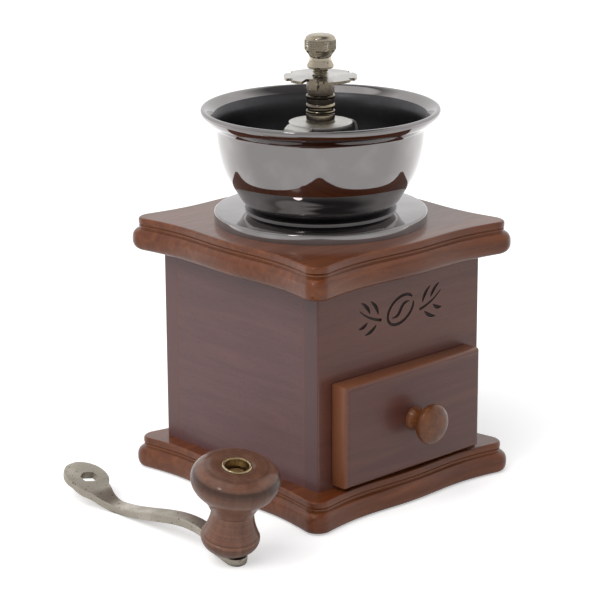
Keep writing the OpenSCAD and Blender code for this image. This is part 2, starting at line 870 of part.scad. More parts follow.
front_gap = 0.3;
drawer_z = box_z + 1.8;
drawer_back_y = -box_d / 2 - front_gap;
drawer_front_y = drawer_back_y - drawer_front_t;
drawer_box_z = box_z + 0.3;
drawer_box_h = 40;
drawer_bottom_t = 3;
front_round = 2.5;

// front with its outer edges rounded by three sloping steps
module drawer_front() {
    steps = 4;
    color(walnut)
        difference() {
            union() {
                translate([0, (drawer_back_y + drawer_front_y + front_round) / 2, drawer_z])
                    board(drawer_w, drawer_front_t - front_round, drawer_h);
                for (k = [0 : steps - 1])
                    let (a = 90 * k / steps, b = 90 * (k + 1) / steps)
                    let (inset = front_round * (1 - cos(b)))
                    let (y0 = front_round * sin(a), y1 = front_round * sin(b))
                    translate([0, drawer_front_y + front_round - (y0 + y1) / 2, drawer_z + inset])
                        board(drawer_w - 2 * inset, y1 - y0 + eps, drawer_h - 2 * inset);
            }
            translate([0, drawer_back_y + 1, knob_z])
                rotate([90, 0, 0]) cylinder(h = drawer_front_t + 2, r = 2, $fn = 24);
        }
}

knob_z = box_z + 25.2;

module drawer_side(sign) {
    color(plywood)
        translate([sign * (drawer_box_w - drawer_side_t) / 2, drawer_back_y + drawer_len / 2, drawer_box_z])
            board(drawer_side_t, drawer_len, drawer_box_h);
}
module drawer_left_side() drawer_side(-1);
module drawer_right_side() drawer_side(1);

module drawer_back() {
    color(plywood)
        translate([0, drawer_back_y + drawer_len - drawer_side_t / 2, drawer_box_z])
            board(drawer_box_w - 2 * drawer_side_t, drawer_side_t, drawer_box_h);
}

module drawer_bottom() {
    color(plywood)
        translate([0, drawer_back_y + (drawer_len - drawer_side_t) / 2, drawer_box_z])
            board(drawer_box_w - 2 * drawer_side_t, drawer_len - drawer_side_t, drawer_bottom_t);
}

// diameter of the drawer knob's profile before it is scaled to drawer_knob_d
profile_drawer_knob_d = 18.2;

module drawer_knob() {
    s = drawer_knob_d / profile_drawer_knob_d;
    color(walnut_warm)
        translate([0, drawer_front_y, knob_z])
            rotate([90, 0, 0])
                difference() {
                    rotate_extrude($fn = 96)
                        polygon([
                            [0, 0], [5.75 * s, 0], [5.6 * s, 0.9], [4.9 * s, 2.4], [4.6 * s, 4.0],
                            [5.0 * s, 5.6], [6.3 * s, 7.0], [8.2 * s, 8.4], [9.0 * s, 9.7], [9.1 * s, 10.8],
                            [8.7 * s, 12.0], [7.5 * s, 13.1], [5.4 * s, 13.9], [2.8 * s, 14.3], [0, 14.4]
                        ]);
                    translate([0, 0, -1]) cylinder(h = 10, r = 1.5, $fn = 24);
                }
}

module drawer_knob_screw() {
    color(steel)
        translate([0, drawer_back_y, knob_z])
            rotate([90, 0, 0])
                union() {
                    cylinder(h = drawer_front_t + 8, r = 1.5, $fn = 24);
                    translate([0, 0, -1.8]) cylinder(h = 1.8, r = 3.4, $fn = 32);
                }
}

base_pad();
base_plate();
front_board();
back_board();
left_side_board();
right_side_board();
top_plate();
left_drawer_guide();
right_drawer_guide();
base_screws();
top_dowels();
mill_housing();
housing_screws();
outer_burr();
outer_burr_screws();
bowl_collar();
hopper_bowl();
bridge_bracket();
bridge_screws();
shaft_bush();
thrust_washer();
adjusting_nut();
lock_disc();
adjusting_spring();
spring_seat();
burr_shaft();
inner_burr();
burr_washer();
burr_nut();
cap_nut();
crank_arm();
knob_rivet();
knob_washer();
crank_knob();
knob_eyelet();
drawer_front();
drawer_left_side();
drawer_right_side();
drawer_back();
drawer_bottom();
drawer_knob();
drawer_knob_screw();
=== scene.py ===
"""Looks of a hand burr coffee grinder, dressed around its packed construction.

The wooden box, the plated hopper, the mill and adjusting parts, the crank and the drawer are
each one class, which holds its own sizes, models its pieces and gives them their finish.
Scene lengths are metres, and MM turns a workshop millimetre into metres. Outlines that are
turned on the lathe are written in millimetres.
"""

import json
import logging
import math
from dataclasses import dataclass, replace
from enum import Enum
from typing import Any, Callable, Sequence

import bmesh
import bpy
from mathutils import Matrix, Vector

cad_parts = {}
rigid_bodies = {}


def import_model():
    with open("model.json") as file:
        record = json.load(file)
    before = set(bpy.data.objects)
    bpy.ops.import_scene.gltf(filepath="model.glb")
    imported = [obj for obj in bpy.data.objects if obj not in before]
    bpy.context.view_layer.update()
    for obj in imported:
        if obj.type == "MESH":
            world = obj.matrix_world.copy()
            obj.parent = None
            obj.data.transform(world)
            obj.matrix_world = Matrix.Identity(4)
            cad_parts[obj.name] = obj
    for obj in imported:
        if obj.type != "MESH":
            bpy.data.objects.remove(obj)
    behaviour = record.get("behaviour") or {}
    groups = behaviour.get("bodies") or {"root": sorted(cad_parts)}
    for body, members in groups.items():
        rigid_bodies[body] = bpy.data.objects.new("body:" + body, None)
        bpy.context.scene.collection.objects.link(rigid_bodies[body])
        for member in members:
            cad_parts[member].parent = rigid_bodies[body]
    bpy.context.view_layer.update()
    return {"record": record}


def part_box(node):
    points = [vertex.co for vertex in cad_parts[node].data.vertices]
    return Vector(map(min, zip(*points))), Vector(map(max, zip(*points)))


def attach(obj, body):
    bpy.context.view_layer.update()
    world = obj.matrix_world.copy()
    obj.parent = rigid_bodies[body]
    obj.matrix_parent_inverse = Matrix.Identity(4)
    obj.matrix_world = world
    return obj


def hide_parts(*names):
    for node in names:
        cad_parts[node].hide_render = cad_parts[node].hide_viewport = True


LOG = logging.getLogger("coffee_grinder")
MM = 0.001
MERGE = 1e-6
KEY_STEPS = 1e7

Point2 = tuple[float, float]
Object = bpy.types.Object
Socket = bpy.types.NodeSocket


class Slot(Enum):
    """Material slots of the record, which are passed along when a piece is fitted but not read."""

    STAINED_WOOD = "stained_wood"
    RAW_WOOD = "raw_wood"
    FELT = "felt_pad"
    BLACK_NICKEL = "black_nickel"
    AGED_NICKEL = "aged_nickel"
    CAST_IRON = "cast_iron"
    ZINC = "zinc_screw"
    SHAFT = "shaft_steel"
    BRASS = "eyelet_brass"


class Grain(Enum):
    """Axis along which the fibres of a wooden piece run."""

    X = 0
    Y = 1
    Z = 2


# ---------------------------------------------------------------- the workbench


def only(piece: Object) -> None:
    """Leaves one object selected and active, in object mode.

    Args:
        piece: the object to work on.
    """
    if bpy.context.mode != "OBJECT":
        bpy.ops.object.mode_set(mode="OBJECT")
    bpy.ops.object.select_all(action="DESELECT")
    piece.select_set(True)
    bpy.context.view_layer.objects.active = piece


class Editing:
    """Edit mode on one object, entered with nothing selected and left at the end."""

    def __init__(self, piece: Object, mode: str = "VERT") -> None:
        """Notes what to edit.

        Args:
            piece: the mesh object.
            mode: what is selected in it, VERT, EDGE or FACE.
        """
        self.piece = piece
        self.mode = mode

    def __enter__(self) -> "Editing":
        """Enters edit mode.

        Returns:
            This bench.
        """
        only(self.piece)
        bpy.ops.object.mode_set(mode="EDIT")
        bpy.ops.mesh.select_mode(type=self.mode)
        bpy.ops.mesh.select_all(action="DESELECT")
        return self

    def __exit__(self, *_: object) -> None:
        """Returns to object mode."""
        bpy.ops.object.mode_set(mode="OBJECT")

    def mesh(self) -> bmesh.types.BMesh:
        """The mesh being edited."""
        return bmesh.from_edit_mesh(self.piece.data)

    def update(self) -> None:
        """Takes over what was changed in the mesh."""
        bmesh.update_edit_mesh(self.piece.data)

    def pick(self, wanted: Callable[[Any], bool]) -> None:
        """Selects the edges or faces that a test picks.

        Args:
            wanted: says of an edge or a face whether it is picked.
        """
        mesh = self.mesh()
        for element in mesh.faces if self.mode == "FACE" else mesh.edges:
            element.select_set(wanted(element))
        mesh.select_flush_mode()
        self.update()

    def clean(self) -> None:
        """Merges doubled points and turns every face outwards."""
        bpy.ops.mesh.select_all(action="SELECT")
        bpy.ops.mesh.remove_doubles(threshold=MERGE)
        bpy.ops.mesh.normals_make_consistent(inside=False)


def settle(piece: Object) -> None:
    """Moves an object's place, turn and scale into its mesh.

    Args:
        piece: the object.
    """
    only(piece)
    bpy.ops.object.transform_apply(location=True, rotation=True, scale=True)


def started(name: str) -> Object:
    """Names the primitive that was just added and moves its place into its mesh.

    Args:
        name: the piece's name.

    Returns:
        The new object, at the origin, unturned and unscaled.
    """
    piece = bpy.context.object
    piece.name = name
    piece.data.name = name
    settle(piece)
    return piece


def linked(name: str, data: bpy.types.ID) -> Object:
    """Puts a new object into the scene.

    Args:
        name: the object's name.
        data: its mesh, curve, light or camera.

    Returns:
        The new object.
    """
    thing = bpy.data.objects.new(name, data)
    bpy.context.scene.collection.objects.link(thing)
    return thing


def modify(piece: Object, kind: str, **settings: Any) -> None:
    """Adds a modifier and applies it.

    Args:
        piece: the mesh object.
        kind: the modifier's type.
        **settings: the modifier's properties.
    """
    only(piece)
    modifier = piece.modifiers.new(kind.title(), kind)
    for key, value in settings.items():
        setattr(modifier, key, value)
    bpy.ops.object.modifier_apply(modifier=modifier.name)


def round_edges(piece: Object, width: float, segments: int = 3, angle: float = 35) -> None:
    """Rounds the sharp edges of a piece.

    Args:
        piece: the mesh object.
        width: width of the round.
        segments: faces across the round.
        angle: smallest angle, in degrees, at which an edge counts as sharp.
    """
    modify(
        piece, "BEVEL", width=width, segments=segments,
        limit_method="ANGLE", angle_limit=math.radians(angle),
    )


def carve(piece: Object, cutter: Object, operation: str = "DIFFERENCE") -> None:
    """Cuts one closed mesh with another, which is used up. The cut keeps the cutter's finish.

    Args:
        piece: the mesh object that stays.
        cutter: the mesh object that cuts.
        operation: DIFFERENCE, UNION or INTERSECT.
    """
    modify(
        piece, "BOOLEAN", object=cutter, operation=operation, solver="EXACT",
        material_mode="TRANSFER",
    )
    bpy.data.objects.remove(cutter)


def shade(piece: Object, angle: float = 30, flat: bool = False) -> None:
    """Shades a piece smooth, with creases where its faces meet at more than an angle.

    Args:
        piece: the mesh object.
        angle: the angle in degrees.
        flat: True to keep broad faces flat right up to their rounded edges.
    """
    only(piece)
    bpy.ops.object.shade_smooth_by_angle(angle=math.radians(angle))
    if flat:
        modify(piece, "WEIGHTED_NORMAL", keep_sharp=True, weight=100)


def block(name: str, low: Vector, high: Vector, edge: float = 0) -> Object:
    """A board with rounded edges.

    Args:
        name: the piece's name.
        low: its lowest corner.
        high: its highest corner.
        edge: radius of its edges, or 0 for sharp ones.

    Returns:
        The new object.
    """
    bpy.ops.mesh.primitive_cube_add(size=1, location=(low + high) / 2, scale=high - low)
    piece = started(name)
    if edge:
        round_edges(piece, edge)
        shade(piece)
    return piece


def rod(name: str, radius: float, low: Vector, height: float, sides: int = 96) -> Object:
    """A plain upright rod, used as a cutter or as a start.

    Args:
        name: the object's name.
        radius: its radius.
        low: the centre of its lower end.
        height: its height.
        sides: its number of sides.

    Returns:
        The new object.
    """
    bpy.ops.mesh.primitive_cylinder_add(
        vertices=sides, radius=radius, depth=height, location=low + Vector((0, 0, height / 2))
    )
    return started(name)


def curved(points: Sequence[Point2], parts: int = 4) -> list[Point2]:
    """A smooth line through all of the points given.

    Args:
        points: the points, in order.
        parts: stretches between one point and the next.

    Returns:
        The points of the line, its ends among them.
    """
    ends = [points[0], *points, points[-1]]
    line = []
    for a, b, c, d in zip(ends, ends[1:], ends[2:], ends[3:]):
        for t in (k / parts for k in range(parts)):
            line.append(
                tuple(
                    0.5 * (2 * q + (r - p) * t + (2 * p - 5 * q + 4 * r - s) * t * t
                           + (3 * q - p - 3 * r + s) * t ** 3)
                    for p, q, r, s in zip(a, b, c, d)
                )
            )
    return [*line, tuple(points[-1])]


def turned(
    name: str, outline: Sequence[Point2], steps: int = 96, loop: bool = True, foot: float = 0
) -> Object:
    """Turns an outline about the Z axis, as on a lathe.

    Args:
        name: the piece's name.
        outline: radius and height of each point, in order, in millimetres.
        steps: faces round the piece.
        loop: True if the outline closes on itself, round a bore.
        foot: height in metres from which the outline's heights count.

    Returns:
        The new object.
    """
    points = [*outline, outline[0]] if loop else outline
    path = [(r * MM, foot + z * MM) for r, z in points]
    bpy.ops.mesh.primitive_plane_add(size=MM, location=(path[0][0], 0, path[0][1]))
    piece = started(name)
    with Editing(piece) as bench:
        bpy.ops.mesh.select_all(action="SELECT")
        bpy.ops.mesh.merge(type="CENTER")
        for (r1, z1), (r2, z2) in zip(path, path[1:]):
            bpy.ops.mesh.extrude_vertices_move(
                TRANSFORM_OT_translate={"value": (r2 - r1, 0, z2 - z1)}
            )
        bpy.ops.mesh.select_all(action="SELECT")
        bpy.ops.mesh.spin(steps=steps, angle=math.tau, center=(0, 0, 0), axis=(0, 0, 1))
        bench.clean()
    shade(piece)
    return piece


def place_key(point: Vector) -> tuple[int, ...]:
    """A point as whole steps of a tenth of a micrometre, to find it again.

    Args:
        point: the point.

    Returns:
        Its three numbers of steps.
    """
    return tuple(round(value * KEY_STEPS) for value in point)


def lofted(name: str, rings: Sequence[Sequence[Vector]]) -> Object:
    """Draws a closed skin over rings of points, from the first ring to the last.

    Args:
        name: the piece's name.
        rings: the rings, each with as many points as the others.

    Returns:
        The new object.
    """
    bpy.ops.mesh.primitive_circle_add(vertices=len(rings[0]), radius=1, fill_type="NGON")
    piece = started(name)
    with Editing(piece) as bench:
        for vertex, point in zip(bench.mesh().verts, rings[0]):
            vertex.co = point
        bench.update()
        bpy.ops.mesh.select_all(action="SELECT")
        for before, after in zip(rings, rings[1:]):
            bpy.ops.mesh.extrude_region_move(TRANSFORM_OT_translate={"value": (0, 0, 0)})
            target = {place_key(old): new for old, new in zip(before, after)}
            for vertex in bench.mesh().verts:
                if vertex.select:
                    vertex.co = target[place_key(vertex.co)]
            bench.update()
        bench.clean()
    shade(piece)
    return piece


def softened(name: str, node: str, width: float) -> Object:
    """A clean copy of a construction solid, with its edges rounded.

    Args:
        name: the new piece's name.
        node: the construction node.
        width: width of the rounds.

    Returns:
        The new object.
    """
    piece = linked(name, bpy.data.objects[node].data.copy())
    with Editing(piece):
        bpy.ops.mesh.select_all(action="SELECT")
        bpy.ops.mesh.remove_doubles(threshold=MERGE)
        bpy.ops.mesh.customdata_custom_splitnormals_clear()
        bpy.ops.mesh.dissolve_limited(angle_limit=math.radians(0.5))
    round_edges(piece, width, 2)
    shade(piece)
    return piece


def stroke(name: str, points: Sequence[Vector], radii: Sequence[float]) -> Object:
    """A round stroke with closed ends.

    Args:
        name: the object's name.
        points: the points that it passes near.
        radii: its radius at each of those points.

    Returns:
        The new object.
    """
    curve = bpy.data.curves.new(name, "CURVE")
    curve.dimensions = "3D"
    curve.resolution_u = 8
    curve.bevel_depth = 1
    curve.bevel_resolution = 4
    curve.use_fill_caps = True
    spline = curve.splines.new("NURBS")
    spline.points.add(len(points) - 1)
    for point, place, radius in zip(spline.points, points, radii):
        point.co = (*place, 1)
        point.radius = radius
    spline.order_u = 4
    spline.use_endpoint_u = True
    only(linked(name, curve))
    bpy.ops.object.convert(target="MESH")
    return bpy.context.object


# ---------------------------------------------------------------- finishes


def linear(shade: str) -> tuple[float, float, float, float]:
    """Turns a display colour into the linear one that the renderer works in.

    Args:
        shade: the colour as #rrggbb.

    Returns:
        Red, green, blue and alpha.
    """
    parts = [int(shade[k : k + 2], 16) / 255 for k in (1, 3, 5)]
    return (*[p / 12.92 if p <= 0.04045 else ((p + 0.055) / 1.055) ** 2.4 for p in parts], 1.0)


class Nodes:
    """The shader nodes of a material or of the world."""

    def __init__(self, tree: bpy.types.NodeTree) -> None:
        """Clears the tree.

        Args:
            tree: the tree that the nodes go into.
        """
        tree.nodes.clear()
        self.tree = tree

    def add(
        self, kind: str, inputs: dict[str | int, Any] | None = None, output: str | int = 0,
        stops: Sequence[tuple[float, Any]] = (), **options: Any,
    ) -> Socket:
        """Adds a shader node.

        Args:
            kind: the node's type, without ShaderNode.
            inputs: what its inputs get, by name or number: a value, a colour as #rrggbb or a
                socket that is joined to it.
            output: the output that is wanted, by name or number.
            stops: place and value of each stop of a colour ramp, a grey level or #rrggbb.
            **options: the node's own properties.

        Returns:
            That output, or None for a node without outputs.
        """
        node = self.tree.nodes.new("ShaderNode" + kind)
        for key, value in options.items():
            setattr(node, key, value)
        for key, value in (inputs or {}).items():
            if isinstance(value, Socket):
                self.tree.links.new(value, node.inputs[key])
            else:
                node.inputs[key].default_value = linear(value) if isinstance(value, str) else value
        if stops:
            ramp = node.color_ramp.elements
            while len(ramp) < len(stops):
                ramp.new(1.0)
            for stop, (place, value) in zip(ramp, stops):
                stop.position = place
                stop.color = linear(value) if isinstance(value, str) else (value, value, value, 1)
        return node.outputs[output] if node.outputs else None

    def marks(
        self, place: Socket, sizes: Sequence[float], detail: float = 2, bend: float = 0
    ) -> Socket:
        """A pattern of irregular marks.

        Args:
            place: where on the piece.
            sizes: size of the marks along each axis, in millimetres.
            detail: how much finer marks they carry.
            bend: how much they are bent.

        Returns:
            Their strength.
        """
        scale = [1 / (size * MM) for size in sizes]
        drawn = self.add("Mapping", {"Vector": place, "Scale": scale})
        inputs = {"Vector": drawn, "Scale": 1, "Detail": detail, "Distortion": bend}
        return self.add("TexNoise", inputs, "Fac")

    def lathe_lines(self, place: Socket, size: float) -> Socket:
        """Irregular marks that run round the Z axis, as a turning tool leaves them.

        Args:
            place: where on the piece.
            size: their size in millimetres.

        Returns:
            Their strength.
        """
        x, y, z = self.add("SeparateXYZ", {0: place}).node.outputs
        flat = self.add("CombineXYZ", {0: x, 1: y})
        reach = self.add("VectorMath", {0: flat}, "Value", operation="LENGTH")
        return self.marks(self.add("CombineXYZ", {0: reach, 1: z}), (size,) * 3)

    def worn(self, body: Socket, tone: str, radius: float, samples: int, start: Point2) -> Socket:
        """Lets another tone through at edges, which turn away from their softened normal.

        Args:
            body: the tone of the piece.
            tone: the tone of its edges.
            radius: how far from the edge the wear reaches, in millimetres.
            samples: rays that look for the edge.
            start: how well the two normals agree where the wear is strongest, and its share.

        Returns:
            The tone that comes out.
        """
        soft = self.add("Bevel", {"Radius": radius * MM}, samples=samples)
        normals = {0: soft, 1: self.add("NewGeometry", output="Normal")}
        facing = self.add("VectorMath", normals, "Value", operation="DOT_PRODUCT")
        wear = self.add("ValToRGB", {"Fac": facing}, stops=(start, (0.985, 0.0)))
        return self.add("MixRGB", {"Fac": wear, "Color1": body, "Color2": tone})

    def hollows(self, reach: float, stops: Sequence[Point2], local: bool = False) -> Socket:
        """Tone of grooves and inner corners.

        Args:
            reach: how far away a wall still counts, in millimetres.
            stops: openness and tone of each stop.
            local: True if only the piece itself counts.

        Returns:
            The tone.
        """
        inputs = {"Distance": reach * MM}
        openness = self.add("AmbientOcclusion", inputs, "AO", samples=6, only_local=local)
        return self.add("ValToRGB", {"Fac": openness}, stops=stops)

    def surface(self, inputs: dict[str, Any], height: Socket, strength: float, deep: float) -> None:
        """Writes the surface with its fine relief, and joins it to the material.

        Args:
            inputs: what the surface's inputs get.
            height: height of the relief.
            strength: how strongly it shows.
            deep: its depth in millimetres.
        """
        relief = self.add("Bump", {"Strength": strength, "Distance": deep * MM, "Height": height})
        shader = self.add("BsdfPrincipled", {**inputs, "Normal": relief})
        self.add("OutputMaterial", {"Surface": shader})


@dataclass(frozen=True)
class Finish:
    """A material that is worked out from the piece's own coordinates."""

    name: str
    shade: str

    def material(self) -> bpy.types.Material:
        """Writes the material.

        Returns:
            The new material.
        """
        material = bpy.data.materials.new(self.name)
        material.use_nodes = True
        nodes = Nodes(material.node_tree)
        self.write(nodes, nodes.add("TexCoord", output="Object"))
        return material

    def write(self, nodes: Nodes, place: Socket) -> None:
        """Writes the finish's own nodes.

        Args:
            nodes: the material's nodes.
            place: the piece's own coordinates, in metres.
        """
        raise NotImplementedError


@dataclass(frozen=True)
class Wood(Finish):
    """Close-grained beech, stained or bare.

    The pores are short dark dashes along the fibre, the growth figure is a slow change of tone,
    and the stain is rubbed thin where a piece has edges. Stained pieces carry a satin lacquer.
    Grooves carry painted shade, narrow faces can take a tone of painted light, and turned pieces
    can carry rings of painted highlight and painted shade.
    Sizes of marks, grooves and edges are millimetres, along and across the fibre where there
    are two.
    """

    dark: str
    warm: str
    rubbed: str
    grain: Grain = Grain.X
    # tone of the faces that don't look along Y: painted light
    side: str = ""
    edge: float = 1.1
    rough: tuple[float, float] = (0.34, 0.46)
    coat: float = 0.0
    centre: tuple[float, float, float] = (0, 0, 0)
    turn: tuple[float, float, float] = (0, 0, 0)
    # heights and tones of rings of painted highlight and painted shade on a turned piece
    painted_light_bands: tuple[Point2, ...] = ()
    shine: float = 0.5
    # reach of the painted shade in grooves and inner corners
    groove: float = 3.5
    figure: Point2 = (46, 4.2)
    patch: float = 38
    fibre: Point2 = (9, 0.55)
    pore: Point2 = (2.6, 0.3)
    tool_line: float = 0.9
    pore_depth: float = 0.02
    lacquer_rough: float = 0.14

    def along(self, length: float, width: float) -> list[float]:
        """Size of marks that are drawn out along the fibre.

        Args:
            length: their length.
            width: their width.

        Returns:
            The size along each axis.
        """
        return [length if axis == self.grain.value else width for axis in range(3)]

    def write(self, nodes: Nodes, place: Socket) -> None:
        """Writes the finish's own nodes.

        Args:
            nodes: the material's nodes.
            place: the piece's own coordinates, in metres.
        """
        inputs = {"Vector": place, "Location": self.centre, "Rotation": self.turn}
        place = nodes.add("Mapping", inputs, vector_type="TEXTURE")
        figure = nodes.marks(place, self.along(*self.figure), 3, 0.7)
        patches = nodes.marks(place, (self.patch,) * 3)
        fibres = nodes.marks(place, self.along(*self.fibre), 4)
        # real pores are finer than this, which is as coarse as they need to be to show
        pores = nodes.marks(place, self.along(*self.pore))
        stops = ((0.3, self.dark), (0.5, self.shade), (0.72, self.warm))
        body = nodes.add("ValToRGB", {"Fac": figure}, stops=stops)
        if self.side:
            # painted light: the narrow faces, which don't look along Y, get their own tone for the
            # light and reflections that fall on them
            looking = nodes.add("SeparateXYZ", {0: nodes.add("TexCoord", output="Normal")}, "Y")
            size = nodes.add("Math", {0: looking}, operation="ABSOLUTE")
            narrow = nodes.add("ValToRGB", {"Fac": size}, stops=((0.35, 0.9), (0.97, 0.0)))
            body = nodes.add("MixRGB", {"Fac": narrow, "Color1": body, "Color2": self.side})
        grain_and_painted_light = []
        if self.painted_light_bands:
            # rings of painted highlight and painted shade round a turned piece, across its axis,
            # with the lines of the lathe
            last = self.painted_light_bands[-1][0]
            height = nodes.add("SeparateXYZ", {0: place}, "Z")
            share = nodes.add("Math", {0: height, 1: 1 / (last * MM)}, operation="MULTIPLY")
            grain_and_painted_light = [
                (share, [(z / last, tone) for z, tone in self.painted_light_bands], 1.0),
                (nodes.lathe_lines(place, self.tool_line), ((0.36, 0.86), (0.6, 1.04)), 1.0),
            ]
        grain_and_painted_light += [
            (patches, ((0.35, 0.94), (0.65, 1.0)), 1.0),
            (fibres, ((0.3, 0.9), (0.62, 1.0)), 0.85),
            (pores, ((0.33, 0.55), (0.38, 1.0)), 0.6),
        ]
        tones = [
            (nodes.add("ValToRGB", {"Fac": pattern}, stops=stops), weight)
            for pattern, stops, weight in grain_and_painted_light
        ]
        # painted shade: grooves and inner corners of the piece itself are darkened
        tones.append((nodes.hollows(self.groove, ((0.4, 0.15), (0.85, 1.0)), local=True), 1.0))
        for tone, weight in tones:
            inputs = {"Fac": weight, "Color1": body, "Color2": tone}
            body = nodes.add("MixRGB", inputs, blend_type="MULTIPLY")
        smooth, dull = self.rough
        ranges = {"From Min": 0.3, "From Max": 0.7, "To Min": smooth, "To Max": dull}
        inputs = {
            "Base Color": nodes.worn(body, self.rubbed, self.edge, 6, (0.86, 0.85)),
            "Roughness": nodes.add("MapRange", {"Value": fibres, **ranges}),
            "Coat Weight": self.coat, "Coat Roughness": self.lacquer_rough,
            "Specular IOR Level": self.shine,
        }
        relief = nodes.add("Math", {0: pores, 1: 0.6, 2: fibres}, operation="MULTIPLY_ADD")
        nodes.surface(inputs, relief, 0.5, self.pore_depth)


@dataclass(frozen=True)
class Metal(Finish):
    """Plated, turned or cast metal.

    Tarnish gathers in corners and in pits, polished spots wear bright at the edges, and turned
    pieces show fine rings about their axis. Sizes of marks, corners and edges are millimetres.
    """

    dark: str
    bright: str
    rough: tuple[float, float]
    corner: float
    relief: float
    tarnish: float = 0.8
    pit: float = 0.9
    pits: float = 0.34
    rings: float = 0.0
    edge: float = 0.5
    smudge: float = 13

    def write(self, nodes: Nodes, place: Socket) -> None:
        """Writes the finish's own nodes.

        Args:
            nodes: the material's nodes.
            place: the piece's own coordinates, in metres.
        """
        smudge = nodes.marks(place, (self.smudge,) * 3, 3)
        grit = nodes.marks(place, (self.pit,) * 3, 3)
        stops = ((0.3, self.bright), (0.5, self.shade))
        body = nodes.add("ValToRGB", {"Fac": smudge}, stops=stops)
        corners = nodes.hollows(self.corner, ((0.45, 1.0), (0.92, 0.0)))
        stops = ((self.pits - 0.04, 1.0), (self.pits + 0.03, 0.0))
        for mask in (corners, nodes.add("ValToRGB", {"Fac": grit}, stops=stops)):
            share = nodes.add("Math", {0: mask, 1: self.tarnish}, operation="MULTIPLY")
            body = nodes.add("MixRGB", {"Fac": share, "Color1": body, "Color2": self.dark})
        bright, dull = self.rough
        ranges = {"From Min": 0.35, "From Max": 0.65, "To Min": bright, "To Max": dull}
        inputs = {
            "Base Color": nodes.worn(body, self.bright, self.edge, 4, (0.88, 0.7)),
            "Roughness": nodes.add("MapRange", {"Value": smudge, **ranges}),
            "Metallic": 1.0,
        }
        relief = nodes.lathe_lines(place, self.rings) if self.rings else grit
        nodes.surface(inputs, relief, 0.4, self.relief)


@dataclass(frozen=True)
class Felt(Finish):
    """Thin pressed felt: short tangled fibres without any sheen of their own."""

    light: str
    fibre: float = 0.7
    nap: float = 0.1

    def write(self, nodes: Nodes, place: Socket) -> None:
        """Writes the finish's own nodes.

        Args:
            nodes: the material's nodes.
            place: the piece's own coordinates, in metres.
        """
        tangle = nodes.marks(place, (self.fibre,) * 3, 5, 1.5)
        stops = ((0.35, self.shade), (0.7, self.light))
        body = nodes.add("ValToRGB", {"Fac": tangle}, stops=stops)
        nodes.surface({"Base Color": body, "Roughness": 0.95}, tangle, 0.8, self.nap)


@dataclass(frozen=True)
class PaleFloor(Finish):
    """Matt white paper under the object, lit through a little where it is seen.

    Mirrors see it grow brighter towards the backdrop.
    """

    glow: float
    far_glow: float
    behind: tuple[float, float, float]
    tooth: float = 3

    def write(self, nodes: Nodes, place: Socket) -> None:
        """Writes the finish's own nodes.

        Args:
            nodes: the material's nodes.
            place: the piece's own coordinates, in metres.
        """
        tooth = nodes.marks(place, (self.tooth,) * 3)
        rays = nodes.add("LightPath").node.outputs
        inputs = {0: rays["Is Camera Ray"], 1: self.glow}
        seen = nodes.add("Math", inputs, operation="MULTIPLY")
        away = nodes.add("VectorMath", {0: place, 1: self.behind}, "Value", operation="DOT_PRODUCT")
        ranges = {"From Min": -0.05, "From Max": 0.3, "To Max": self.far_glow}
        rise = nodes.add("MapRange", {"Value": away, **ranges})
        inputs = {0: rays["Is Glossy Ray"], 1: rise, 2: seen}
        glow = nodes.add("Math", inputs, operation="MULTIPLY_ADD")
        inputs = {
            "Base Color": self.shade, "Specular IOR Level": 0.0, "Emission Color": "#ffffff",
            "Roughness": nodes.add("MapRange", {"Value": tooth, "To Min": 0.9, "To Max": 1.0}),
            "Emission Strength": glow,
        }
        nodes.add("OutputMaterial", {"Surface": nodes.add("BsdfPrincipled", inputs)})


BACKDROP = (0.675, 0.738, 0)


# Stained beech board with its fibres lying: satin, dark brown; its end strips and top take a
# purplish tone of painted light
LYING_WOOD = Wood(
    "stained_wood_lying", "#5e362c", "#583129", "#643b2e", "#74442f", side="#563c3d", coat=0.15
)
# The same beech at the back, with less lacquer; its end strips take the side boards' tone as
# painted light
BACK_WOOD = replace(LYING_WOOD, name="stained_wood_back", side="#604142", coat=0.1)
# Moulded beech plates: a redder stain under a clear lacquer that shines along the beads
PLATE_WOOD = Wood(
    "stained_wood_plates", "#67351a", "#5a2d14", "#754020", "#824a27", coat=0.6, shine=0.15
)
# Stained beech side boards: dull, in a purplish copy of the box's stain whose purple paints the
# pale room's reflection on them
SIDE_WOOD = Wood(
    "stained_wood_sides", "#604142", "#5b3e3e", "#664644", "#704637", Grain.Y, coat=0.1
)
# Stained beech drawer front: its rounded edges are rubbed to a warm light brown, and its narrow
# faces take a warm orange tone of painted light
DRAWER_WOOD = Wood(
    "stained_wood_drawer", "#57312a", "#512c26", "#5e362c", "#7a452a", side="#7a4a30", coat=0.2
)
# Turned beech knob of the drawer: thin warm stain, well lacquered, with a small highlight
WARM_WOOD = Wood(
    "stained_wood_knob", "#62371b", "#542e16", "#734321", "#8a5229", Grain.Y, coat=0.7, shine=0.15
)
# Turned beech knob of the crank: paler, with rings of painted shade and painted highlight along its
# turned shape
HANDLE_WOOD = Wood(
    "stained_wood_handle", "#76503f", "#6c4839", "#805947", "#8a6350", Grain.Z, coat=0.6,
    shine=0.15, centre=(-104.9 * MM, -55.6 * MM, 5.9 * MM), turn=(0.21, -0.06, 0),
    painted_light_bands=(
        (0.0, 0.7), (6.6, 0.75), (7.3, 1.3), (7.8, 0.5), (8.6, 0.95), (17.8, 1.0), (18.5, 1.5),
        (19.1, 0.6), (20.0, 1.0), (31.0, 1.0), (34.4, 0.75), (36.6, 0.36), (37.9, 0.3),
        (38.7, 0.8), (40.2, 0.9), (40.9, 0.65), (42.0, 0.8),
    ),
)
# Burnt beech in the ornament: charred nearly black and quite dull
BURNT_WOOD = Wood(
    "burnt_groove", "#21130f", "#170c0a", "#2c1913", "#2c1913", rough=(0.6, 0.75)
)
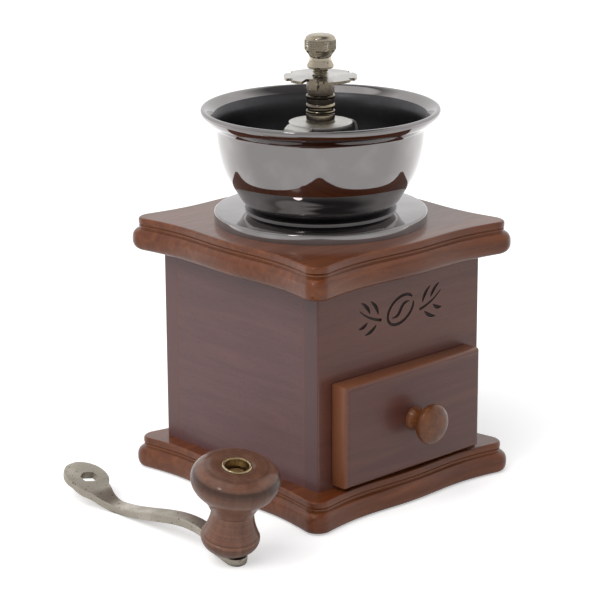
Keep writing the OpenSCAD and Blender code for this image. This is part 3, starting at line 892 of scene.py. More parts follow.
# Bare planed beech inside the box and the drawer: pale, matt, with fine dashes of pores
RAW_WOOD = Wood(
    "raw_beech", "#b88c5f", "#a67b50", "#c69a6c", "#bd9164", rough=(0.6, 0.75)
)
# Black-nickel plate on spun steel: a dark mirror that shows the room and the plates
BLACK_NICKEL = Metal(
    "black_nickel", "#949090", "#565353", "#9c9898", rough=(0.04, 0.08), corner=1.2,
    tarnish=0.3, pit=0.6, pits=0.22, relief=0.002, rings=0.5,
)
# The same plate inside the bowl, brushed, in a much darker tone that paints the shade inside the
# bowl, so it looks nearly black
BOWL_INSIDE_SHADE = Metal(
    "black_nickel_inside", "#4c4b4d", "#343335", "#545355", rough=(0.34, 0.42), corner=2,
    tarnish=0.4, pit=0.6, pits=0.22, relief=0.003, rings=0.5,
)
# Nickel plate on the forged crank, dulled and freckled with brown by years of handling
AGED_NICKEL = Metal(
    "aged_nickel", "#b6aea1", "#4c443a", "#cdc5b8", rough=(0.36, 0.5), corner=1.6,
    pit=1.1, pits=0.35, relief=0.012,
)
# Nickel plate on the stamped disc: flat, brighter, with brown at its edges
BRIGHT_NICKEL = Metal(
    "aged_nickel_flat", "#b9b6b2", "#5d5548", "#c9c6c0", rough=(0.16, 0.28), corner=0.8,
    tarnish=0.7, pits=0.33, relief=0.006,
)
# Satin nickel on the pressed bridge: pale and soft, without clear reflections
SATIN_NICKEL = Metal(
    "satin_nickel", "#dad8d3", "#6b6356", "#e4e2de", rough=(0.4, 0.5), corner=0.8,
    tarnish=0.6, pits=0.33, relief=0.006,
)
# Turned and knurled nickel-plated cap: polished by fingers, dark in its grooves
CAP_NICKEL = Metal(
    "aged_nickel_cap", "#b8ad9b", "#3a3229", "#d2c8b6", rough=(0.14, 0.24), corner=1.2,
    tarnish=0.9, pit=0.8, relief=0.006, rings=0.3,
)
# Turned nickel-plated rings: a darker, brownish copy of the plate that paints the shade on the
# parts down in the bowl, with fine lines round them
SHADED_NICKEL = Metal(
    "aged_nickel_turned", "#7b7267", "#2c2721", "#ab9d86", rough=(0.16, 0.28), corner=1.8,
    tarnish=0.9, pits=0.36, relief=0.006, rings=0.3,
)
# Sand-cast grey iron: dark, dull and grainy
CAST_IRON = Metal(
    "cast_iron", "#5a5654", "#2a2725", "#6e6a66", rough=(0.55, 0.7), corner=2, pit=0.7,
    pits=0.4, relief=0.06,
)
# Bright zinc plate on screws and nuts: pale grey with a slight cloud
ZINC = Metal(
    "zinc_plate", "#b4b1aa", "#5c574e", "#c9c7c0", rough=(0.25, 0.4), corner=0.8, pit=0.6,
    pits=0.3, relief=0.008,
)
# Drawn and oiled spring wire: smooth dark grey
SPRING_STEEL = Metal(
    "spring_steel", "#74716c", "#2f2c29", "#8b8882", rough=(0.25, 0.4), corner=1, pit=0.5,
    pits=0.3, relief=0.006,
)
# Turned steel shaft: grey-brown, with the lines of the lathe
SHAFT_STEEL = Metal(
    "shaft_steel", "#a09888", "#443d34", "#bbb3a2", rough=(0.2, 0.34), corner=0.7, pit=0.5,
    pits=0.3, relief=0.006, rings=0.25,
)
# Pressed brass eyelet: pale yellow, tarnished brown in its folds
BRASS = Metal(
    "eyelet_brass", "#b79f78", "#5a4429", "#dccaa6", rough=(0.3, 0.45), corner=1.0,
    tarnish=0.7, pit=0.7, pits=0.42, relief=0.03,
)
# Pressed dark felt under the base: no gloss, short tangled fibres
FELT = Felt("pressed_felt", "#2d2725", "#453d39")
# White paper under the object, which keeps its soft shadow
FLOOR = PaleFloor("floor_paper", "#e6e6e6", 0.42, 0.7, BACKDROP)


class Workshop:
    """Gives pieces their finish and puts them in the place of construction nodes."""

    def __init__(self) -> None:
        """Starts with no material made."""
        self.made: dict[Finish, bpy.types.Material] = {}

    def material(self, finish: Finish) -> bpy.types.Material:
        """The material of a finish, which is made when it is first asked for.

        Args:
            finish: the finish.

        Returns:
            The material.
        """
        if finish not in self.made:
            self.made[finish] = finish.material()
        return self.made[finish]

    def paint(self, piece: Object, finish: Finish) -> Object:
        """Gives a mesh one finish.

        Args:
            piece: the mesh object.
            finish: its finish.

        Returns:
            The same object.
        """
        piece.data.materials.clear()
        piece.data.materials.append(self.material(finish))
        return piece

    def paint_faces(
        self, piece: Object, finish: Finish, chosen: Callable[[bmesh.types.BMFace], bool]
    ) -> None:
        """Gives some faces of a painted mesh a second finish.

        Args:
            piece: the mesh object.
            finish: their finish.
            chosen: tells whether a face is one of them.
        """
        piece.data.materials.append(self.material(finish))
        with Editing(piece, "FACE") as bench:
            bench.pick(chosen)
            piece.active_material_index = len(piece.data.materials) - 1
            bpy.ops.object.material_slot_assign()

    def fit(self, piece: Object, slot: Slot, node: str, finish: Finish | None = None) -> None:
        """Lets a piece stand for a construction node and move with its body.

        Args:
            piece: the piece, in its place.
            slot: the record's material slot that its finish belongs to; not used.
            node: the construction node.
            finish: its finish, if it isn't painted yet.
        """
        if finish:
            self.paint(piece, finish)
        body = bpy.data.objects[node].parent.name.split(":", 1)[1]
        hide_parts(node)
        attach(piece, body)
        LOG.info("%s stands for %s on %s", piece.name, node, body)

    def dress(self, finish: Finish, *nodes: str) -> None:
        """Paints construction nodes that are shown as they are.

        Args:
            finish: their finish.
            *nodes: their names.
        """
        for node in nodes:
            self.paint(bpy.data.objects[node], finish)
            LOG.info("%s is shown as it is", node)


# ---------------------------------------------------------------- the wooden box


@dataclass
class Plate:
    """One of the two moulded plates: a serpentine outline carried up a moulding."""

    bead: float = 2.1 * MM
    wave: float = 1.4 * MM
    flare: float = 1.6 * MM
    corner: float = 7.4 * MM
    corner_turn: float = math.radians(11.3)
    side_steps: int = 48
    corner_steps: int = 12
    profile: tuple[Point2, ...] = (
        (0.300, 2.10), (0.435, 2.00), (0.530, 1.60), (0.600, 0.95), (0.640, 0.25), (0.662, -0.40),
        (0.690, -0.40), (0.705, -0.15), (0.750, -0.15), (0.765, -0.60), (0.790, -0.60),
        (0.805, -0.08), (0.825, 0.00), (0.925, 0.00), (0.965, -0.18), (0.988, -0.50),
        (1.000, -1.10),
    )
    round_foot: tuple[Point2, ...] = ((0.000, 0.10), (0.015, 0.50), (0.065, 1.30), (0.174, 1.95))
    square_foot: tuple[Point2, ...] = ((0.000, 0.95), (0.020, 1.30), (0.070, 1.70), (0.174, 2.02))

    def swing(self, along: float, t: float) -> float:
        """How far the shallow waves take a side inward.

        Args:
            along: half the side's length.
            t: place along it from its middle.

        Returns:
            The inset.
        """
        return self.wave * math.sin(math.pi * t / along) ** 2

    def arc(self, along: float) -> float:
        """Radius of the arc that leaves a side's end smoothly and turns the corner.

        Args:
            along: half the side's length.

        Returns:
            The radius.
        """
        chord = self.corner - self.swing(along, self.corner)
        return chord / (math.sqrt(2) * math.sin(math.pi / 4 + self.corner_turn))

    def side(self, along: float, out: float) -> list[Point2]:
        """The front side of one level and the corner at its right.

        Args:
            along: half the side's length.
            out: its distance from the middle at the corners.

        Returns:
            The points, from left to right.
        """
        reach = along - self.corner
        points = []
        for u in (-1 + 2 * k / self.side_steps for k in range(self.side_steps + 1)):
            flare = self.flare * (1 - abs(u) ** 5)
            points.append((u * reach, -out + flare + self.swing(along, u * reach)))
        radius = self.arc(along)
        x0 = reach + radius * math.sin(self.corner_turn)
        y0 = self.swing(along, self.corner) - out + radius * math.cos(self.corner_turn)
        sweep = math.pi / 2 + 2 * self.corner_turn
        for k in range(1, self.corner_steps):
            a = sweep * k / self.corner_steps - math.pi / 2 - self.corner_turn
            points.append((x0 + radius * math.cos(a), y0 + radius * math.sin(a)))
        return points

    def outline(self, ex: float, ey: float) -> list[Point2]:
        """Outline of one level.

        Args:
            ex: half its width at the corners.
            ey: half its depth at the corners.

        Returns:
            The points, anticlockwise.
        """
        points = []
        for (c, s), (along, out) in zip(
            ((1, 0), (0, 1), (-1, 0), (0, -1)), ((ex, ey), (ey, ex), (ex, ey), (ey, ex))
        ):
            points += [(x * c - y * s, x * s + y * c) for x, y in self.side(along, out)]
        return points

    def build(self, name: str, node: str, foot: Sequence[Point2]) -> Object:
        """Models the plate that stands for a construction node.

        Args:
            name: the piece's name.
            node: the construction node.
            foot: lower edge of its bead.

        Returns:
            The new object.
        """
        low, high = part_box(node)
        # the box measures the corners' arcs, which lie a little inside the tips
        tip = [
            v + self.swing(v, self.corner) - self.arc(v) * (1 - math.cos(self.corner_turn))
            for v in (high.x, high.y)
        ]
        rings = []
        for share, out in curved((*foot, *self.profile), 2):
            grow = out * MM - self.bead
            z = low.z + min(1.0, max(0.0, share)) * (high.z - low.z)
            rings.append([Vector((x, y, z)) for x, y in self.outline(tip[0] + grow, tip[1] + grow)])
        return lofted(name, rings)


@dataclass
class Ornament:
    """Cutters for the burnt ornament, a coffee bean between two leafy sprigs."""

    height: float = 88.5 * MM
    depth: float = 0.7 * MM
    groove: float = 0.72 * MM
    tilt: float = math.radians(28)
    oval_points: int = 24
    oval_gap: float = 1.6
    oval: Point2 = (8.6, 5.7)
    crease: Point2 = (6.2, 1.3)
    crease_radii: tuple[float, ...] = (0.3, 0.8, 1.1, 1.2, 1.2, 1.2, 1.1, 0.8, 0.3)
    stem: tuple[Point2, ...] = ((11.8, -2.4), (14.5, -1.9), (18.5, -0.4), (22, 1.5), (25.2, 4.2))
    stem_radii: tuple[float, ...] = (1.0, 0.9, 0.8, 0.65, 0.35)
    leaves: tuple[tuple[Point2, ...], ...] = (
        ((13.8, 0.5), (14.2, 3.2), (16.0, 5.8), (18.6, 7.4)),
        ((18.9, 1.9), (19.6, 4.2), (21.6, 6.4), (24.2, 7.8)),
        ((15.0, -3.9), (16.6, -5.8), (19.2, -7.2), (22.0, -7.4)),
        ((20.4, -1.8), (21.8, -3.3), (23.8, -4.1), (25.8, -3.8)),
    )
    leaf_radii: tuple[float, ...] = (0.3, 1.7, 1.4, 0.25)

    def tilted(self, u: float, v: float) -> Point2:
        """A point of the bean, which leans.

        Args:
            u: its place along the bean.
            v: its place across the bean.

        Returns:
            The point on the board.
        """
        c, s = math.cos(self.tilt), math.sin(self.tilt)
        return u * c - v * s, u * s + v * c

    def strokes(self) -> list[tuple[list[Point2], Sequence[float]]]:
        """Draws the ornament, about its middle.

        Returns:
            Points and radii of each stroke, in millimetres and in grooves.
        """
        bean = []
        for k in range(self.oval_points + 1):
            a = math.tau * (k + 0.5) / (self.oval_points + self.oval_gap)
            bean.append(self.tilted(self.oval[0] * math.cos(a), self.oval[1] * math.sin(a)))
        crease = []
        reach, bend = self.crease
        for k in range(len(self.crease_radii)):
            u = -reach + 2 * reach * k / (len(self.crease_radii) - 1)
            crease.append(self.tilted(u, bend * math.sin(math.pi * u / reach)))
        strokes = [
            (bean, (0.5, *[1.0] * (len(bean) - 2), 0.5)),
            (crease, self.crease_radii),
        ]
        for side in (-1, 1):
            for line in (self.stem, *self.leaves):
                radii = self.stem_radii if line is self.stem else self.leaf_radii
                strokes.append(([(side * x, z) for x, z in line], radii))
        return strokes

    def cutters(self, face_y: float) -> list[Object]:
        """Models the cutters.

        Args:
            face_y: the board's face.

        Returns:
            The cutters, which lie half in the face.
        """
        cutters = []
        for k, (points, radii) in enumerate(self.strokes()):
            cutter = stroke(
                f"graver_{k}", [Vector((x, 0, z)) * MM for x, z in points],
                [radius * self.groove for radius in radii],
            )
            cutter.scale.y = self.depth / self.groove
            cutter.location = (0, face_y, self.height)
            settle(cutter)
            cutters.append(cutter)
        return cutters


@dataclass
class WoodenBox:
    """Two moulded plates, four boards between them and the felt under the base."""

    shop: Workshop
    plate: Plate
    ornament: Ornament
    joint_edge: float = 0.1 * MM
    corner_edge: float = 0.9 * MM
    felt_edge: float = 0.15 * MM
    hole: float = 23 * MM
    mouth_top: float = 60 * MM

    def build(self) -> None:
        """Models and fits the box."""
        self.plates()
        self.boards()
        self.shop.dress(RAW_WOOD, "left_drawer_guide", "right_drawer_guide", "top_dowels")
        self.shop.dress(ZINC, "base_screws")

    def plates(self) -> None:
        """Base plate, top plate with its round hole, and the felt."""
        low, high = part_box("top_plate")
        for name, node, foot in (
            ("base_moulding", "base_plate", self.plate.square_foot),
            ("top_moulding", "top_plate", self.plate.round_foot),
        ):
            plate = self.shop.paint(self.plate.build(name, node, foot), PLATE_WOOD)
            if node == "top_plate":
                start = Vector((0, 0, low.z - MM))
                drill = rod("drill", self.hole, start, high.z - low.z + 2 * MM)
                carve(plate, self.shop.paint(drill, PLATE_WOOD))
            shade(plate, flat=True)
            self.shop.fit(plate, Slot.STAINED_WOOD, node)
        felt = block("felt_sole", *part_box("base_pad"), self.felt_edge)
        self.shop.fit(felt, Slot.FELT, "base_pad", FELT)

    def boards(self) -> None:
        """Front board with its opening and engraving, back board and sides."""
        for name, node, finish in (
            ("back_panel", "back_board", BACK_WOOD),
            ("left_panel", "left_side_board", SIDE_WOOD),
            ("right_panel", "right_side_board", SIDE_WOOD),
            ("front_panel", "front_board", LYING_WOOD),
        ):
            low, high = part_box(node)
            panel = block(name, low, high)
            if node == "front_board":
                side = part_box("right_drawer_guide")[0].x
                start = Vector((-side, low.y - MM, low.z - MM))
                carve(panel, block("saw", start, Vector((side, high.y + MM, self.mouth_top))))
            self.outer_corners(panel)
            round_edges(panel, self.joint_edge, 2, 60)
            self.shop.paint(panel, finish)
            if node == "front_board":
                for cutter in self.ornament.cutters(low.y):
                    carve(panel, self.shop.paint(cutter, BURNT_WOOD))
            shade(panel, flat=True)
            self.shop.fit(panel, Slot.STAINED_WOOD, node)

    def outer_corners(self, panel: Object) -> None:
        """Rounds the upright edges at the corners of the box.

        Args:
            panel: the board.
        """
        reach_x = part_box("front_board")[1].x - MM
        reach_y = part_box("back_board")[1].y - MM
        with Editing(panel, "EDGE") as bench:
            bench.pick(
                lambda edge: all(
                    abs(v.co.x) > reach_x and abs(v.co.y) > reach_y for v in edge.verts
                )
            )
            bpy.ops.mesh.bevel(offset=self.corner_edge, segments=4, affect="EDGES")


# ---------------------------------------------------------------- the drawer


@dataclass
class Drawer:
    """Front with rounded edges, turned knob and a plain box behind."""

    shop: Workshop
    front_round: float = 2.5 * MM
    back_edge: float = 0.3 * MM
    side_edge: float = 0.5 * MM
    knob: tuple[Point2, ...] = (
        (5.75, 0), (5.6, 0.9), (4.9, 2.4), (4.6, 4.0), (5.0, 5.6), (6.3, 7.0), (8.2, 8.4),
        (9.0, 9.7), (9.1, 10.8), (8.7, 12.0), (7.5, 13.1), (5.4, 13.9), (2.8, 14.3), (0, 14.4),
    )
    knob_hole: float = 1.5 * MM
    knob_hole_depth: float = 9 * MM

    def build(self) -> None:
        """Models and fits the drawer."""
        front = block("drawer_panel", *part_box("drawer_front"))
        with Editing(front, "FACE") as bench:
            bench.pick(lambda face: face.normal.y < -0.9)
            bpy.ops.mesh.bevel(offset=self.front_round, segments=8, affect="EDGES")
        round_edges(front, self.back_edge, 2, 60)
        shade(front)
        self.shop.fit(front, Slot.STAINED_WOOD, "drawer_front", DRAWER_WOOD)
        self.turned_knob()
        for name, node in (
            ("drawer_left_wall", "drawer_left_side"), ("drawer_right_wall", "drawer_right_side"),
            ("drawer_rear_wall", "drawer_back"), ("drawer_floor", "drawer_bottom"),
        ):
            board = block(name, *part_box(node), self.side_edge)
            self.shop.fit(board, Slot.RAW_WOOD, node, RAW_WOOD)
        self.shop.dress(ZINC, "drawer_knob_screw")

    def turned_knob(self) -> None:
        """Knob with the hole for its screw."""
        low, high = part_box("drawer_knob")
        knob = turned("drawer_knob_turned", [(0, 0), *curved(self.knob)], loop=False)
        self.shop.paint(knob, WARM_WOOD)
        drill = rod("drill", self.knob_hole, Vector((0, 0, -MM)), self.knob_hole_depth + MM, 24)
        carve(knob, self.shop.paint(drill, WARM_WOOD))
        knob.rotation_euler = (math.pi / 2, 0, 0)
        knob.location = (0, high.y, (low.z + high.z) / 2)
        settle(knob)
        shade(knob)
        self.shop.fit(knob, Slot.STAINED_WOOD, "drawer_knob")


# ---------------------------------------------------------------- hopper and mill


@dataclass
class Hopper:
    """Plated bowl on a collar that covers the hole in the top plate. Heights are above the deck."""

    shop: Workshop
    sheet: float = 1.2
    throat: float = 22.4
    rise: float = 34.3
    edge: float = 4.6
    foot: tuple[float, float] = (5.0, 6.2)
    inside_top: float = 47.9
    steps: int = 168
    wall: tuple[Point2, ...] = (
        (32.1, 6.6), (35.4, 9.2), (36.9, 11.3), (38.4, 13.9), (40.7, 17.4), (43.1, 22.0),
        (44.7, 26.6), (45.8, 31.2), (46.6, 35.8), (47.0, 40.3), (47.2, 42.2), (47.7, 43.6),
        (49.2, 44.9), (51.6, 46.6), (53.3, 48.5), (53.9, 49.4), (54.0, 50.2), (53.7, 51.0),
        (53.0, 51.4), (51.8, 51.2), (49.8, 49.8), (47.8, 47.6), (46.5, 45.2), (46.0, 43.0),
        (45.7, 40.2), (45.3, 35.8), (44.5, 31.2), (43.4, 26.8), (41.7, 22.4), (39.3, 17.9),
        (37.0, 14.4), (35.5, 11.8), (34.2, 10.0), (31.2, 7.4), (30.9, 6.2),
    )

    def build(self) -> None:
        """Models and fits collar and bowl."""
        low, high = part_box("bowl_collar")
        reach, top = high.x / MM, (high.z - low.z) / MM
        edge, sheet, rise = self.edge, self.sheet, self.rise
        collar = [
            (reach - sheet, 0), (reach, 0), (reach, edge - 1.0), (reach - 0.08, edge - 0.6),
            (reach - 0.3, edge - 0.3), (reach - 0.6, edge - 0.1), (reach - 1.0, edge), (rise, top),
            (self.throat, top), (self.throat, top - sheet), (rise, top - sheet),
            (reach - sheet, edge - sheet),
        ]
        ring = turned("collar_spun", collar, self.steps, foot=low.z)
        self.shop.fit(ring, Slot.BLACK_NICKEL, "bowl_collar", BLACK_NICKEL)
        under, over = self.foot
        base = (
            (self.throat, over), (self.throat, under), (rise, under), (rise, over - 0.5),
            (rise - 1.1, over),
        )
        bowl = turned("bowl_spun", [*curved(self.wall), *base], self.steps, foot=low.z)
        self.shop.paint(bowl, BLACK_NICKEL)
        rim = low.z + self.inside_top * MM

        def inside(face: bmesh.types.BMFace) -> bool:
            """Tells whether a face is on the inside of the bowl.

            Args:
                face: the face.

            Returns:
                True if it is.
            """
            middle = face.calc_center_median()
            inward = face.normal.x * middle.x + face.normal.y * middle.y < 0
            return middle.z < rim and (inward or face.normal.z > 0.8)

        # the inside faces take the darker copy of the plate: painted shade
        self.shop.paint_faces(bowl, BOWL_INSIDE_SHADE, inside)
        self.shop.fit(bowl, Slot.BLACK_NICKEL, "hopper_bowl")


@dataclass
class Mill:
    """Cast housing and burrs, the bridge over them and the screws that hold them."""

    shop: Workshop
    cast_edge: float = 0.35 * MM
    pressed_edge: float = 0.3 * MM

    def build(self) -> None:
        """Models and fits what is seen of the mill and paints the rest."""
        casting = softened("mill_casting", "mill_housing", self.cast_edge)
        self.shop.fit(casting, Slot.CAST_IRON, "mill_housing", CAST_IRON)
        bridge = softened("bridge_pressing", "bridge_bracket", self.pressed_edge)
        self.shop.fit(bridge, Slot.AGED_NICKEL, "bridge_bracket", SATIN_NICKEL)
        self.shop.dress(CAST_IRON, "outer_burr", "inner_burr")
        self.shop.dress(
            ZINC, "housing_screws", "bridge_screws", "outer_burr_screws", "burr_washer", "burr_nut"
        )
        self.shop.dress(SPRING_STEEL, "adjusting_spring", "spring_seat")


@dataclass
class Adjuster:
    """Bush, washer, turned sleeve and notched disc on the threaded shaft, and the cap nut."""

    shop: Workshop
    shaft_r: float = 4.0
    core_r: float = 3.15
    thread_r: float = 3.6
    bore: float = 3.68
    bush_bore: float = 4.08
    pitch: float = 1.25
    thread_depth: float = 0.55
    thread_sides: int = 40
    thread_rows: int = 8
    thread_run: float = 4
    tip: tuple[float, float] = (3.2, 2.8)
    ring_steps: int = 112
    disc_steps: int = 160
    notch_steps: int = 24
    disc_t: float = 1.3
    disc_edge: float = 0.22 * MM
    notches: int = 6
    first_notch: float = 48
    notch_depth: float = 2.0
    notch_r: float = 1.6
    notch_flare: float = 0.35
    tongue_angle: float = 207.5
    tongue_w: float = 3.8
    tongue_r: float = 9.6
    tongue_drop: float = 5
    tongue_gap: float = 1.2
    bush: tuple[Point2, ...] = (
        (5.2, 0), (5.2, 8), (6.45, 8), (6.45, 11.5), (6.35, 11.75), (6.05, 11.9),
    )
    washer: tuple[Point2, ...] = (
        (5.95, 0), (6.35, 0.12), (6.55, 0.4), (6.55, 1.2), (6.35, 1.48), (5.95, 1.6),
    )
    sleeve: tuple[Point2, ...] = (
        (5.9, 0), (5.9, 0.6), (6.35, 0.8), (6.6, 1.4), (6.6, 2.2), (6.35, 2.8), (6.1, 3.1),
        (6.1, 5.2), (6.4, 5.5), (6.5, 6.0), (6.5, 6.5), (6.2, 7.0), (5.8, 7.2), (5.8, 7.6),
        (6.3, 8.0), (6.3, 13.7), (5.9, 14.1),
    )
    cap: tuple[Point2, ...] = (
        (5.0, 0), (5.3, 0), (5.9, 0.4), (6.1, 1.1), (5.9, 1.9), (5.3, 2.9), (5.0, 4.0),
        (5.05, 5.2), (5.4, 6.2), (6.1, 7.1), (6.6, 7.6), (7.12, 8.6),
    )
    band: tuple[float, float] = (8.6, 12.9)
    band_r: float = 7.12
    cap_h: float = 15.5
    cap_bore_h: float = 12.0
    dome_steps: int = 12
    knurls: int = 52
    knurl_depth: float = 0.32
    knurl_steps: int = 6
    knurl_rows: int = 34

    def build(self) -> None:
        """Models and fits all of it."""
        for name, node, outline, bore in (
            ("bush_turned", "shaft_bush", self.bush, self.bush_bore),
            ("washer_turned", "thrust_washer", self.washer, self.bush_bore),
            ("sleeve_turned", "adjusting_nut", self.sleeve, self.bore),
        ):
            line = [(bore, outline[0][1]), *outline, (bore, outline[-1][1])]
            ring = turned(name, line, self.ring_steps, foot=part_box(node)[0].z)
            # the rings down in the bowl take the darker copy of the plate: painted shade
            self.shop.fit(ring, Slot.AGED_NICKEL, node, SHADED_NICKEL)
        self.disc()
        self.thread()
        self.cap_nut()

    def disc(self) -> None:
        """Notched disc with one tongue bent down beside the sleeve."""
        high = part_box("lock_disc")[1]
        thick = self.disc_t * MM
        reach = max(high.x, high.y)
        foot = high.z - thick
        disc = rod("disc_stamped", reach, Vector((0, 0, foot)), thick, self.disc_steps)
        cuts = [rod("cut", self.bore * MM, Vector((0, 0, foot - MM)), thick + 2 * MM)]
        inner = reach / MM + self.notch_r - self.notch_depth
        for k in range(self.notches):
            angle = math.radians(self.first_notch + 360 * k / self.notches)
            start = Matrix.Rotation(angle, 3, "Z") @ Vector((inner * MM, 0, foot - MM))
            cuts.append(rod("cut", self.notch_r * MM, start, thick + 2 * MM, self.notch_steps))
            half = self.notch_r + self.notch_flare
            cuts.append(self.finger(inner, inner + 4, half, foot - MM, high.z + MM, angle))
        angle, near, half = math.radians(self.tongue_angle), self.tongue_r, self.tongue_w / 2
        slot = half + self.tongue_gap
        cuts.append(self.finger(near, near + 12, slot, foot - MM, high.z + MM, angle))
        for cut in cuts:
            carve(disc, cut)
        low, top = high.z - self.tongue_drop * MM, high.z - 0.02 * MM
        carve(disc, self.finger(near - 1.3, near + 0.4, half, low, top, angle), "UNION")
        round_edges(disc, self.disc_edge, 2, 40)
        shade(disc, 20)
        self.shop.paint(disc, BRIGHT_NICKEL)
        # the disc's upright edges take the darker copy of the plate: painted shade
        self.shop.paint_faces(disc, SHADED_NICKEL, lambda face: abs(face.normal.z) < 0.8)
        self.shop.fit(disc, Slot.AGED_NICKEL, "lock_disc")

    def finger(
        self, start: float, end: float, half: float, low: float, high: float, angle: float
    ) -> Object:
        """A short bar that points away from the shaft.

        Args:
            start: distance of its near end from the axis, in millimetres.
            end: distance of its far end, in millimetres.
            half: half its width, in millimetres.
            low: its lower face, in metres.
            high: its upper face, in metres.
            angle: its direction about the axis, in radians.

        Returns:
            The new object.
        """
        corners = Vector((start * MM, -half * MM, low)), Vector((end * MM, half * MM, high))
        piece = block("finger", *corners)
        piece.rotation_euler = (0, 0, angle)
        settle(piece)
        return piece

    def thread_ring(self, z: float) -> list[Vector]:
        """One level of the helical thread.

        Args:
            z: its height.

        Returns:
            Its points.
        """
        points = []
        for a in (math.tau * k / self.thread_sides for k in range(self.thread_sides)):
            turn = (z / (self.pitch * MM) - a / math.tau) % 1
            crest = min(1.0, max(0.0, 2.6 * abs(turn - 0.5) - 0.15))
            r = (self.thread_r - self.thread_depth * (1 - crest)) * MM
            points.append(Vector((r * math.cos(a), r * math.sin(a), z)))
        return points

    def plain_ring(self, z: float, radius: float) -> list[Vector]:
        """One round level of the shaft.

        Args:
            z: its height.
            radius: its radius, in millimetres.

        Returns:
            Its points.
        """
        turns = (math.tau * k / self.thread_sides for k in range(self.thread_sides))
        r = radius * MM
        return [Vector((r * math.cos(a), r * math.sin(a), z)) for a in turns]

    def thread(self) -> None:
        """Shaft with a real helical thread on its upper end."""
        low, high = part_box("burr_shaft")
        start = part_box("lock_disc")[1].z - self.thread_run * MM
        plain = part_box("shaft_bush")[1].z + 0.3 * MM
        step = self.pitch * MM / self.thread_rows
        count = int((high.z - 0.5 * MM - start) / step)
        neck, end = self.tip
        rings = [
            self.plain_ring(low.z, self.thread_r), self.plain_ring(low.z + 0.4 * MM, self.shaft_r),
            self.plain_ring(plain, self.shaft_r), self.plain_ring(plain, self.core_r),
            self.plain_ring(start, self.core_r),
            *[self.thread_ring(start + k * step) for k in range(1, count)],
            self.plain_ring(high.z - 0.3 * MM, neck), self.plain_ring(high.z, end),
        ]
        shaft = lofted("shaft_threaded", rings)
        self.shop.fit(shaft, Slot.SHAFT, "burr_shaft", SHAFT_STEEL)

    def cap_nut(self) -> None:
        """Domed cap nut with a diamond knurl round its head."""
        low, high = self.band
        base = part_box("cap_nut")[0].z
        rows = [low + (high - low) * k / self.knurl_rows for k in range(1, self.knurl_rows + 1)]
        dome = []
        for k in range(self.dome_steps):
            a = math.pi / 2 * k / self.dome_steps
            reach = (self.band_r - 0.3) * math.cos(a) ** 0.55
            dome.append((reach, high + (self.cap_h - high) * math.sin(a)))
        line = [
            (self.bore, 0), *self.cap, *[(self.band_r, z) for z in rows], *dome, (0, self.cap_h),
            (0, self.cap_bore_h), (self.bore, self.cap_bore_h),
        ]
        nut = turned("cap_turned", line, self.knurls * self.knurl_steps, foot=base)
        with Editing(nut) as bench:
            for vertex in bench.mesh().verts:
                z = (vertex.co.z - base) / MM
                reach = math.hypot(vertex.co.x, vertex.co.y) / MM
                if low + 0.1 < z < high - 0.1 and reach > self.band_r - 0.1:
                    turn = math.atan2(vertex.co.y, vertex.co.x) / math.tau * self.knurls
                    rise = (z - low) / (math.tau * self.band_r / self.knurls)
                    ways = (turn + rise, turn - rise)
                    ridge = min(abs(value - round(value)) * 2 for value in ways)
                    fall = self.knurl_depth * (1 - min(1.0, 1.5 * ridge))
                    vertex.co.xy = vertex.co.xy * (1 - fall / self.band_r)
            bench.update()
        shade(nut, 25)
        self.shop.fit(nut, Slot.AGED_NICKEL, "cap_nut", CAP_NICKEL)


# ---------------------------------------------------------------- the crank


def ease(s: float, start: float, length: float) -> float:
    """Smooth step from 0 to 1.

    Args:
        s: where on the way.
        start: where the step starts.
        length: how long it is.

    Returns:
        How much of it is done.
    """
    u = min(1.0, max(0.0, (s - start) / length))
    return u * u * (3 - 2 * u)


